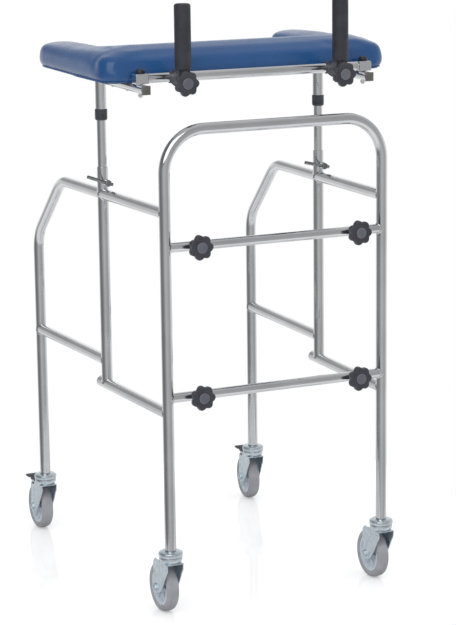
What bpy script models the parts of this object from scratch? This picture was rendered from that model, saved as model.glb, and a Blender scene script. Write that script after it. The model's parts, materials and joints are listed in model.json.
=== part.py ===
"""Forearm support walker on four swivel casters. X is across the walker, the user stands at +Y
and looks towards -Y, Z is up, and the floor is at Z = 0. Left and right are as seen from the front (-Y)."""

import math

import bmesh
import bpy
from mathutils import Matrix, Vector

# Fits
GAP = 0.0003
RUN_GAP = 0.0004

# Frame plan
FRONT_SPACING = 0.470
REAR_SPACING = 0.508
DEPTH = 0.640

# Tubes
TUBE_R = 0.0111
TUBE_WALL = 0.0015
BAR_R = 0.0095
BAR_WALL = 0.0015
INNER_POST_R = 0.00925
TUBE_SIDES = 16
HIDDEN_BORE_SIDES = 8
HIDDEN_BORE_SCALE = 1.04
COPE_START = 0.003

# Front hoop and crossbars
HOOP_TOP_Z = 0.957
HOOP_BEND_R = 0.082
HOOP_BEND_STEPS = 6
UPPER_BAR_Z = 0.733
LOWER_BAR_Z = 0.438
BAR_KNOB_X = 0.172

# Side frames
SIDE_TOP_Z = 0.800
SIDE_CORNER_Y = 0.503
SIDE_LOW_CORNER_Z = 0.666
SIDE_BEND_R = 0.075
SIDE_BEND_STEPS = 4
REAR_RAIL_Z = 0.457
FRONT_RAIL_Z = 0.408
FRONT_RAIL_END_Y = 0.316

# Height posts
POST_Y = 0.289
POST_BORE_R = 0.0096
SLEEVE_HEIGHT = 0.055
SLEEVE_BORE_R = 0.0096
SIDE_BORE_R = 0.0096
INNER_POST_BOTTOM_Z = 0.655
INNER_POST_DROP = 0.021
INNER_POST_WALL = 0.0015
COLLAR_DROP = (0.080, 0.058)
COLLAR_R = 0.0125
COLLAR_NOSE_R = 0.0110
COLLAR_NOSE_HEIGHT = 0.004

# Clamp screws of the posts
SCREW_HEIGHT = 0.025
SCREW_R = 0.004
SCREW_NUT_R = 0.0075
SCREW_NUT_LENGTH = 0.008
SCREW_NECK = 0.003
SCREW_HEAD_R = 0.0065
SCREW_HEAD_LENGTH = 0.011
TOMMY_R = 0.0035
TOMMY_LONG = 0.047
TOMMY_SHORT = 0.012
TOMMY_TILT_LEFT = math.radians(20)
TOMMY_TILT_RIGHT = math.radians(13)

# Armrest carriage
CARRIAGE_X = 0.2415
CARRIAGE_Z = 1.029
CARRIAGE_TILT = math.radians(0.9)
CROSS_TUBE_Y = 0.090
RAIL_FRONT_Y = 0.064
RAIL_REAR_Y = 0.450
SQUARE_PLUG_HALF = 0.0088
SQUARE_PLUG_STEM = 0.005
SQUARE_PLUG_STEM_R = 0.0072
PLUG_CAP = 0.003
PLUG_STEM_R = 0.0088
PLUG_STEM_LENGTH = 0.012
SOCKET_DROP = 0.005

# Cross clamps
BLOCK_X = 0.027
BLOCK_Y = 0.0225
BLOCK_RISE = 0.0015
BLOCK_DROP = 0.0095
BLOCK_END_WALL = 0.0025
BOLT_R = 0.003
BOLT_HOLE_R = 0.0034
BOLT_HEAD_R = 0.0095
BOLT_HEAD_RISE = 0.0100
BOLT_HEAD_STRAIGHT = 0.0060
BOLT_NUT_R = 0.0055
BOLT_NUT_HEIGHT = 0.005

# Pad
PAD_HALF_WIDTH = 0.314
PAD_FRONT_Y = 0.1035
PAD_INNER_Y = 0.258
PAD_ARM_WIDTH = 0.102
PAD_REAR_Y = 0.493
PAD_CORNER_R = 0.042
PAD_INNER_CORNER_R = 0.040
PAD_RIM = 0.012
BOARD_THICKNESS = 0.012
PAD_SIDE_PROFILE = (
    (0.0050, 0.0000),
    (0.0010, 0.0100),
    (0.0000, 0.0230),
    (0.0008, 0.0360),
    (0.0045, 0.0455),
    (0.0120, 0.0515),
    (0.0260, 0.0550),
    (0.0420, 0.0570),
)
PAD_CROWN = 0.0650
PAD_ARM_SCALE = 0.90
PAD_SCALE_FROM_Z = 0.0150
PAD_SCALE_Y = (0.120, 0.330)
PAD_FRONT_STEPS = 4
PAD_CORNER_STEPS = 6
PAD_SIDE_STEPS = 5
PAD_TIP_STEPS = 4

# Hand grips
GRIP_X = 0.1695
GRIP_Y = 0.050
GRIP_R = 0.016
GRIP_LENGTH = 0.1248
GRIP_EDGE = 0.002
GRIP_CORE_R = 0.0095
GRIP_END_WALL = 0.010
GRIP_CLAMP_X = 0.025
GRIP_CLAMP_FRONT_Y = 0.0435
GRIP_CLAMP_NECK_Y = 0.0665
GRIP_CLAMP_RISE = 0.0176
GRIP_CLAMP_WALL = 0.0022
GRIP_CLAMP_FOOT = 0.0070
GRIP_SCREW_DROP = 0.0083
GRIP_SCREW_R = 0.003
GRIP_SCREW_HOLE_R = 0.0034
GRIP_SIDES = 20

# Star knobs
KNOB_LOBES = 7
KNOB_LOBE_POINTS = 4
KNOB_R = 0.025
KNOB_VALLEY_R = 0.0205
KNOB_THICKNESS = 0.014
KNOB_BACK_SCALE = 0.93
KNOB_EDGE = 0.003
KNOB_CAP_R = 0.0105
KNOB_CAP_RISE = 0.0012
KNOB_BOSS_R = 0.0125
KNOB_BOSS_END_R = 0.0080
BAR_KNOB_FRONT = 0.033
GRIP_KNOB_FRONT_Y = 0.0270
KNOB_SCREW_IN_BAR = 0.006

# Casters
WHEEL_R = 0.050
TYRE_WIDTH = 0.025
TYRE_DEPTH = 0.012
TYRE_STEPS = 28
TREAD_FLAT = 0.009
HUB_BOSS_R = 0.010
HUB_BORE_R = 0.0044
HUB_WEB = 0.0075
HUB_RIM_DEPTH = 0.0065
HUB_RIM_WIDTH = 0.020
HUB_STEPS = 16
TRAIL = 0.035
REAR_LEFT_TURN = 0.0
REAR_RIGHT_TURN = math.radians(-6.5)
FORK_INNER = 0.031
FORK_PLATE = 0.0025
FORK_CLEARANCE = 0.0095
FORK_FRONT_EDGE = ((-0.0220, 0.0000), (-0.0220, -0.0095), (-0.0160, -0.0205))
FORK_REAR_EDGE = ((0.0475, -0.0195), (0.0455, -0.0075), (0.0380, 0.0000))
FORK_OPEN_Y = 0.0245
FORK_END_R = 0.0125
FORK_EDGE = 0.003
AXLE_R = 0.004
AXLE_NUT_R = 0.0075
AXLE_NUT = 0.0045
RACE_R = 0.024
LOWER_RACE_HEIGHT = 0.0110
UPPER_RACE_HEIGHT = 0.0125
KINGPIN_R = 0.0055
KINGPIN_HEAD_R = 0.0085
KINGPIN_HEAD = 0.003
STEM_R = 0.0088
STEM_LENGTH = 0.045
RACE_SIDES = 16

# Brake pedals
PEDAL_WIDTH = 0.026
PEDAL_TAB_WIDTH = 0.034
PEDAL_PIN_R = 0.0025
PEDAL_PIN_Y = 0.031
PEDAL_PIN_DROP = 0.0055
PEDAL_PIN_END = 0.0015
PEDAL_OUTLINE = (
    (-0.0035, -0.0026),
    (0.0010, -0.0026),
    (0.0190, -0.0020),
    (0.0250, 0.0000),
    (0.0330, 0.0048),
    (0.0350, 0.0048),
    (0.0350, 0.0072),
    (0.0290, 0.0075),
    (0.0190, 0.0038),
    (-0.0035, 0.0032),
)
PEDAL_TAB_Y = (0.0300, 0.0490)
PEDAL_TAB_Z = (0.0048, 0.0082)

CHROME = ("chrome", (0.62, 0.64, 0.66), 0.16, 1.0)
ZINC = ("zinc_plate", (0.55, 0.60, 0.64), 0.34, 1.0)
BLACK = ("black_plastic", (0.055, 0.053, 0.062), 0.45, 0.0)
GREY_PLUG = ("grey_plug", (0.20, 0.18, 0.17), 0.6, 0.0)
VINYL = ("blue_vinyl", (0.030, 0.095, 0.300), 0.42, 0.0)
PLYWOOD = ("plywood", (0.42, 0.29, 0.17), 0.75, 0.0)
TYRE_RUBBER = ("grey_rubber", (0.26, 0.26, 0.26), 0.7, 0.0)
HUB_PLASTIC = ("hub_plastic", (0.50, 0.54, 0.58), 0.45, 0.0)

# The origin is midway between the caps of the crossbar knobs and the rear tyres.
FRONT_REACH = BAR_KNOB_FRONT + KNOB_CAP_RISE
REAR_REACH = DEPTH + (TRAIL + WHEEL_R) * math.cos(REAR_LEFT_TURN)
FRONT_Y = (FRONT_REACH - REAR_REACH) / 2

X_AXIS = Vector((1, 0, 0))
Y_AXIS = Vector((0, 1, 0))
Z_AXIS = Vector((0, 0, 1))


# Scene and object helpers


def clear_scene():
    for obj in list(bpy.data.objects):
        bpy.data.objects.remove(obj, do_unlink=True)


def material_of(look):
    name, colour, roughness, metallic = look
    found = bpy.data.materials.get(name)
    if found:
        return found
    material = bpy.data.materials.new(name)
    material.use_nodes = True
    shader = material.node_tree.nodes["Principled BSDF"]
    shader.inputs["Base Color"].default_value = (*colour, 1.0)
    shader.inputs["Roughness"].default_value = roughness
    shader.inputs["Metallic"].default_value = metallic
    return material


def shade(mesh):
    mesh.shade_smooth()
    mesh.set_sharp_from_angle(angle=math.radians(38))


def add(name, bm, look, matrix=None):
    """The bmesh as an object of its own. The mesh is in the frame that matrix places."""
    bmesh.ops.recalc_face_normals(bm, faces=bm.faces)
    mesh = bpy.data.meshes.new(name)
    bm.to_mesh(mesh)
    bm.free()
    if look:
        mesh.materials.append(material_of(look))
    shade(mesh)
    return add_mesh(name, mesh, matrix)


def add_mesh(name, mesh, matrix=None):
    obj = bpy.data.objects.new(name, mesh)
    bpy.context.scene.collection.objects.link(obj)
    if matrix:
        obj.matrix_world = matrix
    return obj


def combine(target, tools, operation="DIFFERENCE"):
    """Cuts the tools from the target, or joins them to it, and keeps the result as its mesh."""
    for tool in tools:
        tool.hide_render = True
        tool.display_type = "WIRE"
        modifier = target.modifiers.new(operation.lower(), "BOOLEAN")
        modifier.operation = operation
        modifier.solver = "EXACT"
        modifier.object = tool
    bpy.context.view_layer.update()
    graph = bpy.context.evaluated_depsgraph_get()
    mesh = bpy.data.meshes.new_from_object(target.evaluated_get(graph))
    target.modifiers.clear()
    mesh.materials.clear()
    mesh.materials.append(target.data.materials[0])
    shade(mesh)
    mesh.name = target.name
    target.data = mesh
    for tool in tools:
        bpy.data.objects.remove(tool, do_unlink=True)
    return target


# Shape helpers


def ring(bm, centre, across, up, radius, sides):
    points = []
    for step in range(sides):
        angle = 2 * math.pi * step / sides
        points.append(bm.verts.new(centre + radius * (across * math.cos(angle) + up * math.sin(angle))))
    return points


def strip(bm, first, second):
    """Quads between two closed rings with the same number of points."""
    count = len(first)
    for i in range(count):
        j = (i + 1) % count
        bm.faces.new((first[i], first[j], second[j], second[i]))


def bent_path(corners, radius, steps):
    """Points and directions along straight runs joined by arcs of one radius."""
    path = [(corners[0], (corners[1] - corners[0]).normalized())]
    for before, corner, after in zip(corners, corners[1:], corners[2:]):
        into = (corner - before).normalized()
        out = (after - corner).normalized()
        turn = into.angle(out)
        axis = into.cross(out).normalized()
        start = corner - into * radius * math.tan(turn / 2)
        centre = start + axis.cross(into) * radius
        for step in range(steps + 1):
            spin = Matrix.Rotation(turn * step / steps, 3, axis)
            path.append((centre + spin @ (start - centre), spin @ into))
    path.append((corners[-1], (corners[-1] - corners[-2]).normalized()))
    return path


def fan(bm, outer, inner):
    """Triangles between two closed rings, where the outer one has a whole number of times more points."""
    each = len(outer) // len(inner)
    for i, point in enumerate(inner):
        for step in range(each):
            bm.faces.new((outer[i * each + step], outer[(i * each + step + 1) % len(outer)], point))
        bm.faces.new((outer[(i + 1) * each % len(outer)], inner[(i + 1) % len(inner)], point))


def tube(name, path, side, radius, wall, look, matrix=None, sides=TUBE_SIDES, fit=False):
    """A round tube along a flat path whose plane has side as its normal. With no wall it is a rod.
    The bore of a fit has as many sides as the outside, and any other bore has fewer and the same area."""
    bm = bmesh.new()
    outer = [ring(bm, point, side, along.cross(side), radius, sides) for point, along in path]
    for first, second in zip(outer, outer[1:]):
        strip(bm, first, second)
    if wall:
        bore = radius - wall if fit else (radius - wall) * HIDDEN_BORE_SCALE
        bore_sides = sides if fit else HIDDEN_BORE_SIDES
        inner = [ring(bm, point, side, along.cross(side), bore, bore_sides) for point, along in path]
        for first, second in zip(inner, inner[1:]):
            strip(bm, first, second)
        fan(bm, outer[0], inner[0])
        fan(bm, outer[-1], inner[-1])
    else:
        bm.faces.new(outer[0])
        bm.faces.new(outer[-1])
    return add(name, bm, look, matrix)


def straight(start, end):
    along = (end - start).normalized()
    return [(start, along), (end, along)]


def rod(start, end, radius, side, look=None, name="tool", sides=TUBE_SIDES):
    return tube(name, straight(start, end), side, radius, 0, look, sides=sides)


def box(name, low, high, look=None, matrix=None):
    bm = bmesh.new()
    bmesh.ops.create_cube(bm, size=1.0)
    size = Vector(high) - Vector(low)
    centre = (Vector(high) + Vector(low)) / 2
    for vert in bm.verts:
        vert.co = Vector((vert.co.x * size.x, vert.co.y * size.y, vert.co.z * size.z)) + centre
    return add(name, bm, look, matrix)


def lathe(name, profile, sides, look, matrix=None, turn_start=0.0, closed=False):
    """Turns (radius, height) points about the local Z axis. A closed profile makes a ring with a bore."""
    bm = bmesh.new()
    first = Matrix.Rotation(turn_start, 3, "Z")
    points = [bm.verts.new(first @ Vector((radius, 0, height))) for radius, height in profile]
    edges = [bm.edges.new(pair) for pair in zip(points, points[1:])]
    if closed:
        edges.append(bm.edges.new((points[-1], points[0])))
    turn = 2 * math.pi
    bmesh.ops.spin(
        bm, geom=points + edges, cent=(0, 0, 0), axis=(0, 0, 1), angle=turn, steps=sides, use_merge=True
    )
    bmesh.ops.remove_doubles(bm, verts=bm.verts, dist=1e-6)
    return add(name, bm, look, matrix)


def prism(name, outline, half_width, look, matrix=None):
    """A (y, z) outline extruded to both sides of x = 0."""
    bm = bmesh.new()
    low = [bm.verts.new((-half_width, y, z)) for y, z in outline]
    high = [bm.verts.new((half_width, y, z)) for y, z in outline]
    strip(bm, low, high)
    bm.faces.new(low)
    bm.faces.new(high)
    return add(name, bm, look, matrix)


def facing(origin, direction):
    """Places local Z along the direction and local X across the walker."""
    z = Vector(direction).normalized()
    x = X_AXIS
    y = z.cross(x)
    return Matrix.Translation(origin) @ Matrix((x, y, z)).transposed().to_4x4()


# Places that follow from the sizes above


def at(x, y, z):
    """A point, with y counted from the plane of the front legs."""
    return Vector((x, FRONT_Y + y, z))


def side_x(hand, y):
    """The side frames splay towards the rear."""
    return hand * (FRONT_SPACING + (REAR_SPACING - FRONT_SPACING) * y / DEPTH) / 2


def side_point(hand, y, z):
    return at(side_x(hand, y), y, z)


def side_normal(hand):
    along = side_point(hand, DEPTH, 0) - side_point(hand, 0, 0)
    return along.cross(Z_AXIS).normalized()


def along_side(hand, start_y, end_y, z):
    return side_point(hand, start_y, z), side_point(hand, end_y, z)


HANDS = (("left", -1), ("right", 1))
CROSS_TUBE_Z = CARRIAGE_Z + BAR_R + GAP + BAR_R
PAD_BOTTOM_Z = CARRIAGE_Z + BAR_R + GAP
COLLAR_Z = (CARRIAGE_Z - COLLAR_DROP[0], CARRIAGE_Z - COLLAR_DROP[1])
GRIP_CLAMP_TOP_Z = CROSS_TUBE_Z + GRIP_CLAMP_RISE
GRIP_BOTTOM_Z = GRIP_CLAMP_TOP_Z + GAP
GRIP_TOP_Z = GRIP_BOTTOM_Z + GRIP_LENGTH
GRIP_SCREW_Z = CROSS_TUBE_Z - GRIP_SCREW_DROP
SCREW_Z = SIDE_TOP_Z + SCREW_HEIGHT
TYRE_INNER_R = WHEEL_R - TYRE_DEPTH
HUB_RIM_R = TYRE_INNER_R - HUB_RIM_DEPTH
FORK_TOP_Z = 2 * WHEEL_R + FORK_CLEARANCE
PEDAL_PIN_Z = FORK_TOP_Z - PEDAL_PIN_DROP
LOWER_RACE_TOP_Z = FORK_TOP_Z + LOWER_RACE_HEIGHT
LEG_BOTTOM_Z = LOWER_RACE_TOP_Z + UPPER_RACE_HEIGHT
CARRIAGE = (
    Matrix.Translation(at(0, CROSS_TUBE_Y, CARRIAGE_Z))
    @ Matrix.Rotation(CARRIAGE_TILT, 4, "X")
    @ Matrix.Translation(-at(0, CROSS_TUBE_Y, CARRIAGE_Z))
)


# Frame


def front_frame():
    half = FRONT_SPACING / 2
    corners = [
        at(-half, 0, LEG_BOTTOM_Z),
        at(-half, 0, HOOP_TOP_Z),
        at(half, 0, HOOP_TOP_Z),
        at(half, 0, LEG_BOTTOM_Z),
    ]
    tube("front_frame", bent_path(corners, HOOP_BEND_R, HOOP_BEND_STEPS), Y_AXIS, TUBE_R, TUBE_WALL, CHROME)


def leg_cutter(point, low, high):
    return rod(Vector((point.x, point.y, low)), Vector((point.x, point.y, high)), TUBE_R + GAP, Y_AXIS)


def crossbar(name, z):
    half = FRONT_SPACING / 2 - COPE_START
    bar = tube(name, straight(at(-half, 0, z), at(half, 0, z)), Y_AXIS, BAR_R, BAR_WALL, CHROME)
    tools = []
    for _, hand in HANDS:
        tools.append(leg_cutter(at(hand * FRONT_SPACING / 2, 0, 0), z - 2 * TUBE_R, z + 2 * TUBE_R))
        hole = at(hand * BAR_KNOB_X, 0, z)
        tools.append(rod(hole - 2 * BAR_R * Y_AXIS, hole - BAR_WALL * Y_AXIS, BOLT_HOLE_R, Z_AXIS, sides=7))
    combine(bar, tools)


def side_frame(word, hand):
    corners = [
        side_point(hand, COPE_START, SIDE_TOP_Z),
        side_point(hand, SIDE_CORNER_Y, SIDE_TOP_Z),
        side_point(hand, DEPTH, SIDE_LOW_CORNER_Z),
        side_point(hand, DEPTH, LEG_BOTTOM_Z),
    ]
    path = bent_path(corners, SIDE_BEND_R, SIDE_BEND_STEPS)
    piece = tube("side_frame_" + word, path, side_normal(hand), TUBE_R, TUBE_WALL, CHROME)
    low, high = SIDE_TOP_Z - 2 * TUBE_R, SIDE_TOP_Z + 2 * TUBE_R
    bore = rod(side_point(hand, POST_Y, low), side_point(hand, POST_Y, high), SIDE_BORE_R, Y_AXIS)
    leg = leg_cutter(side_point(hand, 0, 0), low, high)
    combine(piece, [bore, leg])


def rails(word, hand):
    normal = side_normal(hand)
    rear = tube(
        "rear_rail_" + word,
        straight(*along_side(hand, POST_Y + COPE_START, DEPTH - COPE_START, REAR_RAIL_Z)),
        normal,
        TUBE_R,
        TUBE_WALL,
        CHROME,
    )
    low, high = REAR_RAIL_Z - 2 * TUBE_R, REAR_RAIL_Z + 2 * TUBE_R
    post_side = leg_cutter(side_point(hand, POST_Y, 0), low, high)
    leg_side = leg_cutter(side_point(hand, DEPTH, 0), low, high)
    combine(rear, [post_side, leg_side])
    start, end = along_side(hand, COPE_START, FRONT_RAIL_END_Y, FRONT_RAIL_Z)
    front = tube("front_rail_" + word, straight(start, end), normal, TUBE_R, TUBE_WALL, CHROME)
    low, high = FRONT_RAIL_Z - 2 * TUBE_R, FRONT_RAIL_Z + 2 * TUBE_R
    combine(front, [leg_cutter(side_point(hand, 0, 0), low, high)])
    along = (end - start).normalized()
    profile = (
        (0, -PLUG_STEM_LENGTH),
        (PLUG_STEM_R, -PLUG_STEM_LENGTH),
        (PLUG_STEM_R, GAP),
        (TUBE_R, GAP),
        (TUBE_R, PLUG_CAP - 0.001),
        (TUBE_R - 0.001, PLUG_CAP),
        (0, PLUG_CAP),
    )
    lathe("front_rail_plug_" + word, profile, TUBE_SIDES, GREY_PLUG, facing(end, along))


def side_tool(hand, z, start_y, end_y):
    start, end = along_side(hand, start_y, end_y, z)
    return rod(start, end, TUBE_R + GAP, side_normal(hand))


def post(word, hand):
    foot = side_point(hand, POST_Y, FRONT_RAIL_Z + COPE_START)
    top = side_point(hand, POST_Y, SIDE_TOP_Z - COPE_START)
    piece = tube("post_" + word, straight(foot, top), Y_AXIS, TUBE_R, TUBE_R - POST_BORE_R, CHROME, fit=True)
    reach = 2 * TUBE_R
    combine(
        piece,
        [
            side_tool(hand, FRONT_RAIL_Z, POST_Y - reach, POST_Y + reach),
            side_tool(hand, SIDE_TOP_Z, POST_Y - reach, POST_Y + reach),
        ],
    )


def post_sleeve(word, hand):
    foot = side_point(hand, POST_Y, SIDE_TOP_Z + COPE_START)
    top = side_point(hand, POST_Y, SIDE_TOP_Z + SLEEVE_HEIGHT)
    wall = TUBE_R - SLEEVE_BORE_R
    piece = tube("post_sleeve_" + word, straight(foot, top), Y_AXIS, TUBE_R, wall, CHROME, fit=True)
    axis = side_point(hand, POST_Y, SCREW_Z)
    face = axis - (TUBE_R + SCREW_NUT_LENGTH) * Y_AXIS
    nut = rod(face, axis - (SLEEVE_BORE_R + 0.0004) * Y_AXIS, SCREW_NUT_R, Z_AXIS, CHROME, sides=6)
    combine(piece, [nut], "UNION")
    reach = 2 * TUBE_R
    combine(
        piece,
        [
            rod(face - SCREW_R * Y_AXIS, axis, SCREW_R + RUN_GAP, Z_AXIS, sides=12),
            side_tool(hand, SIDE_TOP_Z, POST_Y - reach, POST_Y + reach),
        ],
    )


def post_clamp(word, hand, tilt):
    """Screw with a sliding tommy bar. Local Z points out of the nut, and local X across the walker."""
    axis = side_point(hand, POST_Y, SCREW_Z)
    face = TUBE_R + SCREW_NUT_LENGTH
    origin = axis - face * Y_AXIS
    tip = INNER_POST_R + GAP - face
    profile = (
        (0, tip),
        (SCREW_R, tip),
        (SCREW_R, SCREW_NECK),
        (SCREW_HEAD_R, SCREW_NECK),
        (SCREW_HEAD_R, SCREW_NECK + SCREW_HEAD_LENGTH - 0.001),
        (SCREW_HEAD_R - 0.001, SCREW_NECK + SCREW_HEAD_LENGTH),
        (0, SCREW_NECK + SCREW_HEAD_LENGTH),
    )
    place = facing(origin, -Y_AXIS)
    piece = lathe("post_clamp_" + word, profile, 12, CHROME, place)
    middle = origin - (SCREW_NECK + SCREW_HEAD_LENGTH / 2) * Y_AXIS
    reach = Vector((-math.cos(tilt), 0, math.sin(tilt)))
    bar = rod(middle - TOMMY_SHORT * reach, middle + TOMMY_LONG * reach, TOMMY_R, Y_AXIS, CHROME, sides=10)
    combine(piece, [bar], "UNION")


# Star knobs


def star_knob(name, boss_length, screw_length, matrix):
    """Local Z is the screw's axis and points to the front. The boss ends at z = 0."""
    points = KNOB_LOBES * KNOB_LOBE_POINTS

    def outline(bm, z, scale):
        verts = []
        for step in range(points):
            angle = 2 * math.pi * step / points
            wave = (0.5 + 0.5 * math.cos(KNOB_LOBES * angle)) ** 0.6
            radius = scale * (KNOB_VALLEY_R + (KNOB_R - KNOB_VALLEY_R) * wave)
            verts.append(bm.verts.new((radius * math.cos(angle), radius * math.sin(angle), z)))
        return verts

    bm = bmesh.new()
    back = boss_length
    front = back + KNOB_THICKNESS
    rings = [
        ring(bm, Vector((0, 0, 0)), X_AXIS, Y_AXIS, KNOB_BOSS_END_R, points),
        ring(bm, Vector((0, 0, back)), X_AXIS, Y_AXIS, KNOB_BOSS_R, points),
        outline(bm, back, KNOB_BACK_SCALE),
        outline(bm, back + KNOB_EDGE, 1.0),
        outline(bm, front - KNOB_EDGE, 1.0),
        outline(bm, front, KNOB_BACK_SCALE - 0.03),
        ring(bm, Vector((0, 0, front)), X_AXIS, Y_AXIS, KNOB_CAP_R, points),
        ring(bm, Vector((0, 0, front + KNOB_CAP_RISE)), X_AXIS, Y_AXIS, KNOB_CAP_R - KNOB_CAP_RISE, points),
    ]
    for first, second in zip(rings, rings[1:]):
        strip(bm, first, second)
    bm.faces.new(rings[-1])
    neck = ring(bm, Vector((0, 0, 0)), X_AXIS, Y_AXIS, GRIP_SCREW_R, KNOB_LOBES)
    tip = ring(bm, Vector((0, 0, -screw_length)), X_AXIS, Y_AXIS, GRIP_SCREW_R, KNOB_LOBES)
    strip(bm, neck, tip)
    bm.faces.new(tip)
    fan(bm, rings[0], neck)
    return add(name, bm, BLACK, matrix)


def crossbar_knobs():
    for level, z in (("upper", UPPER_BAR_Z), ("lower", LOWER_BAR_Z)):
        for word, hand in HANDS:
            boss = BAR_KNOB_FRONT - KNOB_THICKNESS - BAR_R - GAP
            origin = at(hand * BAR_KNOB_X, -BAR_R - GAP, z)
            star_knob(f"crossbar_knob_{level}_{word}", boss, KNOB_SCREW_IN_BAR, facing(origin, -Y_AXIS))


# Armrest carriage


def inner_post(word, hand):
    foot = side_point(hand, POST_Y, INNER_POST_BOTTOM_Z)
    top = side_point(hand, POST_Y, CARRIAGE_Z - INNER_POST_DROP)
    tube("inner_post_" + word, straight(foot, top), Y_AXIS, INNER_POST_R, INNER_POST_WALL, CHROME)


def post_collar(word, hand):
    low, high = COLLAR_Z
    bore = INNER_POST_R + GAP
    profile = (
        (bore, low),
        (COLLAR_NOSE_R, low),
        (COLLAR_R, low + COLLAR_NOSE_HEIGHT),
        (COLLAR_R, high),
        (bore, high),
    )
    place = Matrix.Translation(side_point(hand, POST_Y, 0))
    lathe("post_collar_" + word, profile, TUBE_SIDES, BLACK, place, closed=True)


def rail_axis_z(y):
    """Height of the tilted rails' axis."""
    return CARRIAGE_Z + (y - CROSS_TUBE_Y) * math.tan(CARRIAGE_TILT)


def rail_tool(hand, start_y, end_y, radius):
    start = at(hand * CARRIAGE_X, start_y, rail_axis_z(start_y))
    end = at(hand * CARRIAGE_X, end_y, rail_axis_z(end_y))
    return rod(start, end, radius, X_AXIS)


def upper_socket(word, hand):
    foot = side_point(hand, POST_Y, COLLAR_Z[1] + GAP)
    top = side_point(hand, POST_Y, rail_axis_z(POST_Y) - SOCKET_DROP)
    wall = TUBE_R - INNER_POST_R - GAP
    piece = tube("upper_socket_" + word, straight(foot, top), Y_AXIS, TUBE_R, wall, CHROME, fit=True)
    combine(piece, [rail_tool(hand, POST_Y - 2 * TUBE_R, POST_Y + 2 * TUBE_R, BAR_R + GAP)])


def carriage_rail(word, hand):
    start = at(hand * CARRIAGE_X, RAIL_FRONT_Y, CARRIAGE_Z)
    end = at(hand * CARRIAGE_X, RAIL_REAR_Y, CARRIAGE_Z)
    piece = tube("armrest_rail_" + word, straight(start, end), X_AXIS, BAR_R, BAR_WALL, CHROME, CARRIAGE)
    bolt = at(hand * CARRIAGE_X, CROSS_TUBE_Y, 0)
    hole = rod(
        bolt + (CARRIAGE_Z - 2 * TUBE_R) * Z_AXIS,
        bolt + (CARRIAGE_Z + 2 * TUBE_R) * Z_AXIS,
        BOLT_HOLE_R,
        X_AXIS,
        sides=10,
    )
    combine(piece, [hole])
    half = SQUARE_PLUG_HALF
    cap = box(
        "armrest_rail_plug_" + word,
        at(hand * CARRIAGE_X - half, RAIL_FRONT_Y - PLUG_CAP, CARRIAGE_Z - half),
        at(hand * CARRIAGE_X + half, RAIL_FRONT_Y - GAP, CARRIAGE_Z + half),
        GREY_PLUG,
        CARRIAGE,
    )
    stem = tube(
        "tool",
        straight(start - (PLUG_CAP / 2) * Y_AXIS, start + SQUARE_PLUG_STEM * Y_AXIS),
        X_AXIS,
        SQUARE_PLUG_STEM_R,
        0,
        GREY_PLUG,
        CARRIAGE,
    )
    combine(cap, [stem], "UNION")


def cross_tube():
    end_x = CARRIAGE_X + BLOCK_X / 2 - BLOCK_END_WALL - GAP
    ends = straight(at(-end_x, CROSS_TUBE_Y, CROSS_TUBE_Z), at(end_x, CROSS_TUBE_Y, CROSS_TUBE_Z))
    piece = tube("cross_tube", ends, Y_AXIS, BAR_R, BAR_WALL, CHROME)
    tools = []
    for _, hand in HANDS:
        hole = at(hand * CARRIAGE_X, CROSS_TUBE_Y, CROSS_TUBE_Z)
        low, high = hole - 2 * BAR_R * Z_AXIS, hole + 2 * BAR_R * Z_AXIS
        tools.append(rod(low, high, BOLT_HOLE_R, X_AXIS, sides=10))
    combine(piece, tools)


def cross_clamp(word, hand):
    """Saddle block over both tubes, with the bolt that goes down through them."""
    x = hand * CARRIAGE_X
    top = CROSS_TUBE_Z + BAR_R + BLOCK_RISE
    low = (x - BLOCK_X / 2, CROSS_TUBE_Y - BLOCK_Y / 2, CARRIAGE_Z + BLOCK_DROP)
    high = (x + BLOCK_X / 2, CROSS_TUBE_Y + BLOCK_Y / 2, top)
    block = box("cross_clamp_" + word, at(*low), at(*high), CHROME)
    bevel = block.modifiers.new("edges", "BEVEL")
    bevel.width = 0.002
    bevel.segments = 1
    tools = [
        rail_tool(hand, CROSS_TUBE_Y - BLOCK_Y, CROSS_TUBE_Y + BLOCK_Y, BAR_R + GAP),
        rod(
            at(x + hand * (BLOCK_X / 2 - BLOCK_END_WALL), CROSS_TUBE_Y, CROSS_TUBE_Z),
            at(x - hand * BLOCK_X, CROSS_TUBE_Y, CROSS_TUBE_Z),
            BAR_R + GAP,
            Y_AXIS,
        ),
    ]
    combine(block, tools)
    nut_top = CARRIAGE_Z - BAR_R - GAP
    profile = (
        (0, nut_top - BOLT_NUT_HEIGHT - 0.002),
        (BOLT_R, nut_top - BOLT_NUT_HEIGHT - 0.002),
        (BOLT_R, nut_top - BOLT_NUT_HEIGHT),
        (BOLT_NUT_R, nut_top - BOLT_NUT_HEIGHT),
        (BOLT_NUT_R, nut_top),
        (BOLT_R, nut_top),
        (BOLT_R, top - 0.001),
        (BOLT_HEAD_R, top - 0.001),
        (BOLT_HEAD_R, top + BOLT_HEAD_STRAIGHT),
        (0.7 * BOLT_HEAD_R, top + 0.9 * BOLT_HEAD_RISE),
        (0, top + BOLT_HEAD_RISE),
    )
    bolt = lathe("tool", profile, 12, CHROME, Matrix.Translation(at(x, CROSS_TUBE_Y, 0)))
    combine(block, [bolt], "UNION")


# Pad


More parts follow.
